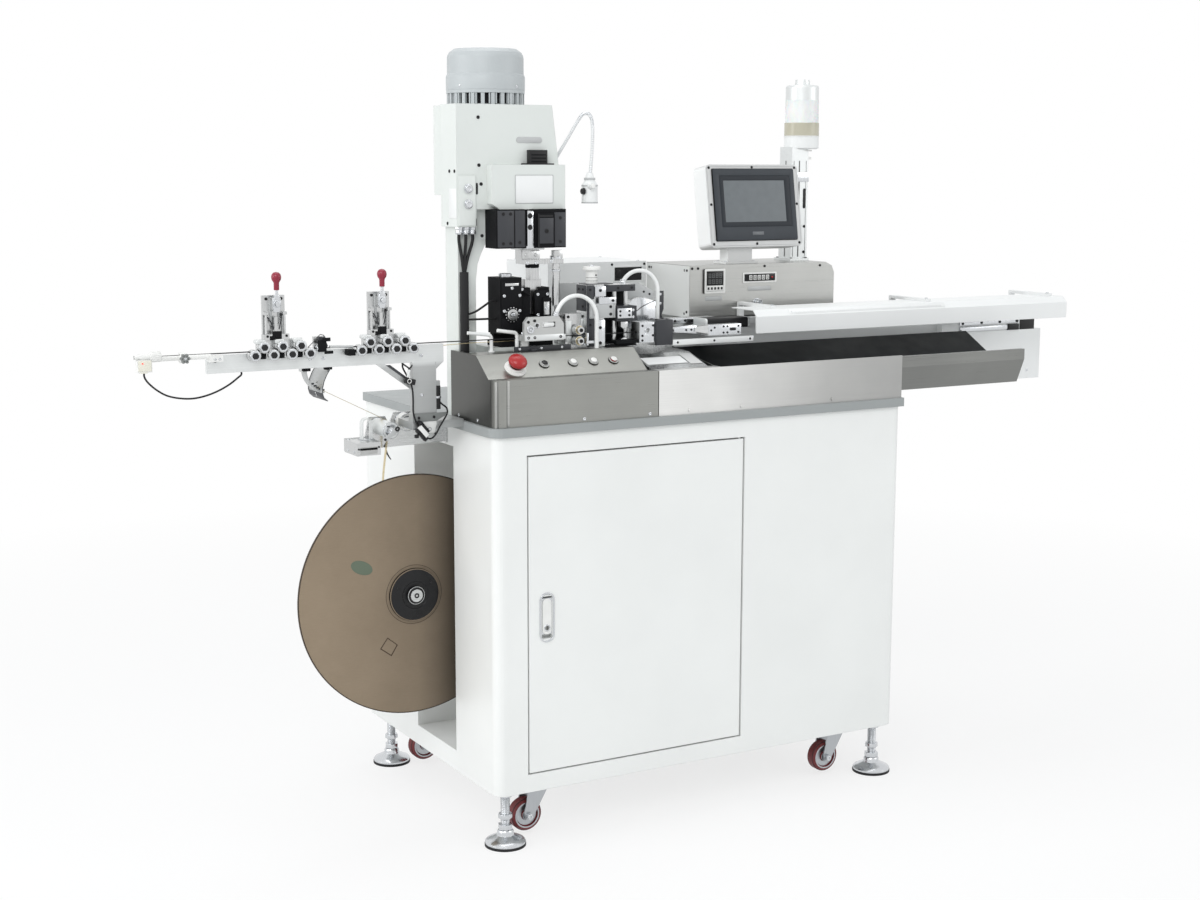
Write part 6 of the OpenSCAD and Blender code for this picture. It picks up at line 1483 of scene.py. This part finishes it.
# A light grey sheet over the stainless instrument housing's left face.
Form("housing_side", "housing_side_grey").box(552.3, 553.1, 231, 399.4, 951, 1055, 0.2)
Form("housing_side_screws", "black").screws(
    [(552.3, 240, 1046), (552.3, 240, 962), (552.3, 388, 1046)], 2.6, 1.2, "left")


for form in FORMS:
    form.finish()


# Light, floor and background

FLOOR_HALF = 14
FLOOR_GLOW_NEAR, FLOOR_GLOW_FAR = 0.74, 1
GLOW_FROM, GLOW_TO = 1.3, 3.2
WORLD_LIGHT = 0.62


def straight_rays(tree):
    """1 for camera, glossy and transmission rays."""
    path = tree.nodes.new("ShaderNodeLightPath").outputs
    total = path["Is Camera Ray"]
    for name in ("Is Glossy Ray", "Is Transmission Ray"):
        total = math_node(tree, "Math", "MAXIMUM", {0: total, 1: path[name]})
    return total


def mixed_output(tree, kind, share, first, second):
    mix = add_node(tree, "MixShader", {"Fac": share, 1: first, 2: second})
    fill(tree, tree.nodes.new("ShaderNodeOutput" + kind), {"Surface": mix})


def white_world():
    """A soft light all round, seen as plain white."""
    world = bpy.data.worlds.new("studio")
    bpy.context.scene.world = world
    world.use_nodes = True
    tree = world.node_tree
    tree.nodes.clear()
    light = add_node(tree, "Background", {"Color": (0.95, 0.98, 1.0, 1), "Strength": WORLD_LIGHT})
    seen = add_node(tree, "Background", {"Color": (1, 1, 1, 1), "Strength": 1.0})
    mixed_output(tree, "World", straight_rays(tree), light, seen)


def area_light(name, place, target, size, power):
    data = bpy.data.lights.new(name, "AREA")
    data.shape = "RECTANGLE"
    data.size = size[0]
    data.size_y = size[1]
    data.energy = power
    lamp = bpy.data.objects.new(name, data)
    lamp.location = place
    lamp.rotation_euler = (Vector(target) - Vector(place)).to_track_quat("-Z", "Y").to_euler()
    bpy.context.collection.objects.link(lamp)


def floor():
    """A pale floor that keeps the object's shadow and turns white with distance."""
    mesh = bpy.data.meshes.new("floor")
    corners = [(-FLOOR_HALF, -FLOOR_HALF, 0), (FLOOR_HALF, -FLOOR_HALF, 0), (FLOOR_HALF, FLOOR_HALF, 0),
               (-FLOOR_HALF, FLOOR_HALF, 0)]
    mesh.from_pydata(corners, [], [(0, 1, 2, 3)])
    piece = bpy.data.objects.new("floor", mesh)
    bpy.context.collection.objects.link(piece)
    material = bpy.data.materials.new("floor")
    material.use_nodes = True
    tree = material.node_tree
    tree.nodes.clear()
    plain = add_node(tree, "BsdfDiffuse", {"Color": (0.86, 0.86, 0.86, 1)})
    glow = add_node(tree, "Emission", {"Color": (1, 1, 1, 1)})
    place = add_node(tree, "NewGeometry", {}, "Position")
    reach = math_node(tree, "VectorMath", "LENGTH", {0: place}, "Value")
    far = remap(tree, reach, FLOOR_GLOW_NEAR, FLOOR_GLOW_FAR, GLOW_FROM, GLOW_TO)
    share = math_node(tree, "Math", "MULTIPLY", {0: straight_rays(tree), 1: far})
    mixed_output(tree, "Material", share, plain, glow)
    mesh.materials.append(material)


white_world()
area_light("key", (-2.9, -3.2, 3.6), (0, 0, 0.8), (2.6, 2.6), 80)
area_light("left", (-4.6, 0.2, 2.2), (0, 0, 0.8), (3.0, 2.6), 62)
area_light("fill", (3.6, -3.2, 2.4), (0, 0, 0.8), (2.4, 2.4), 36)
area_light("top", (0, 0.4, 4.2), (0, 0, 0.6), (3.0, 2.2), 40)
floor()
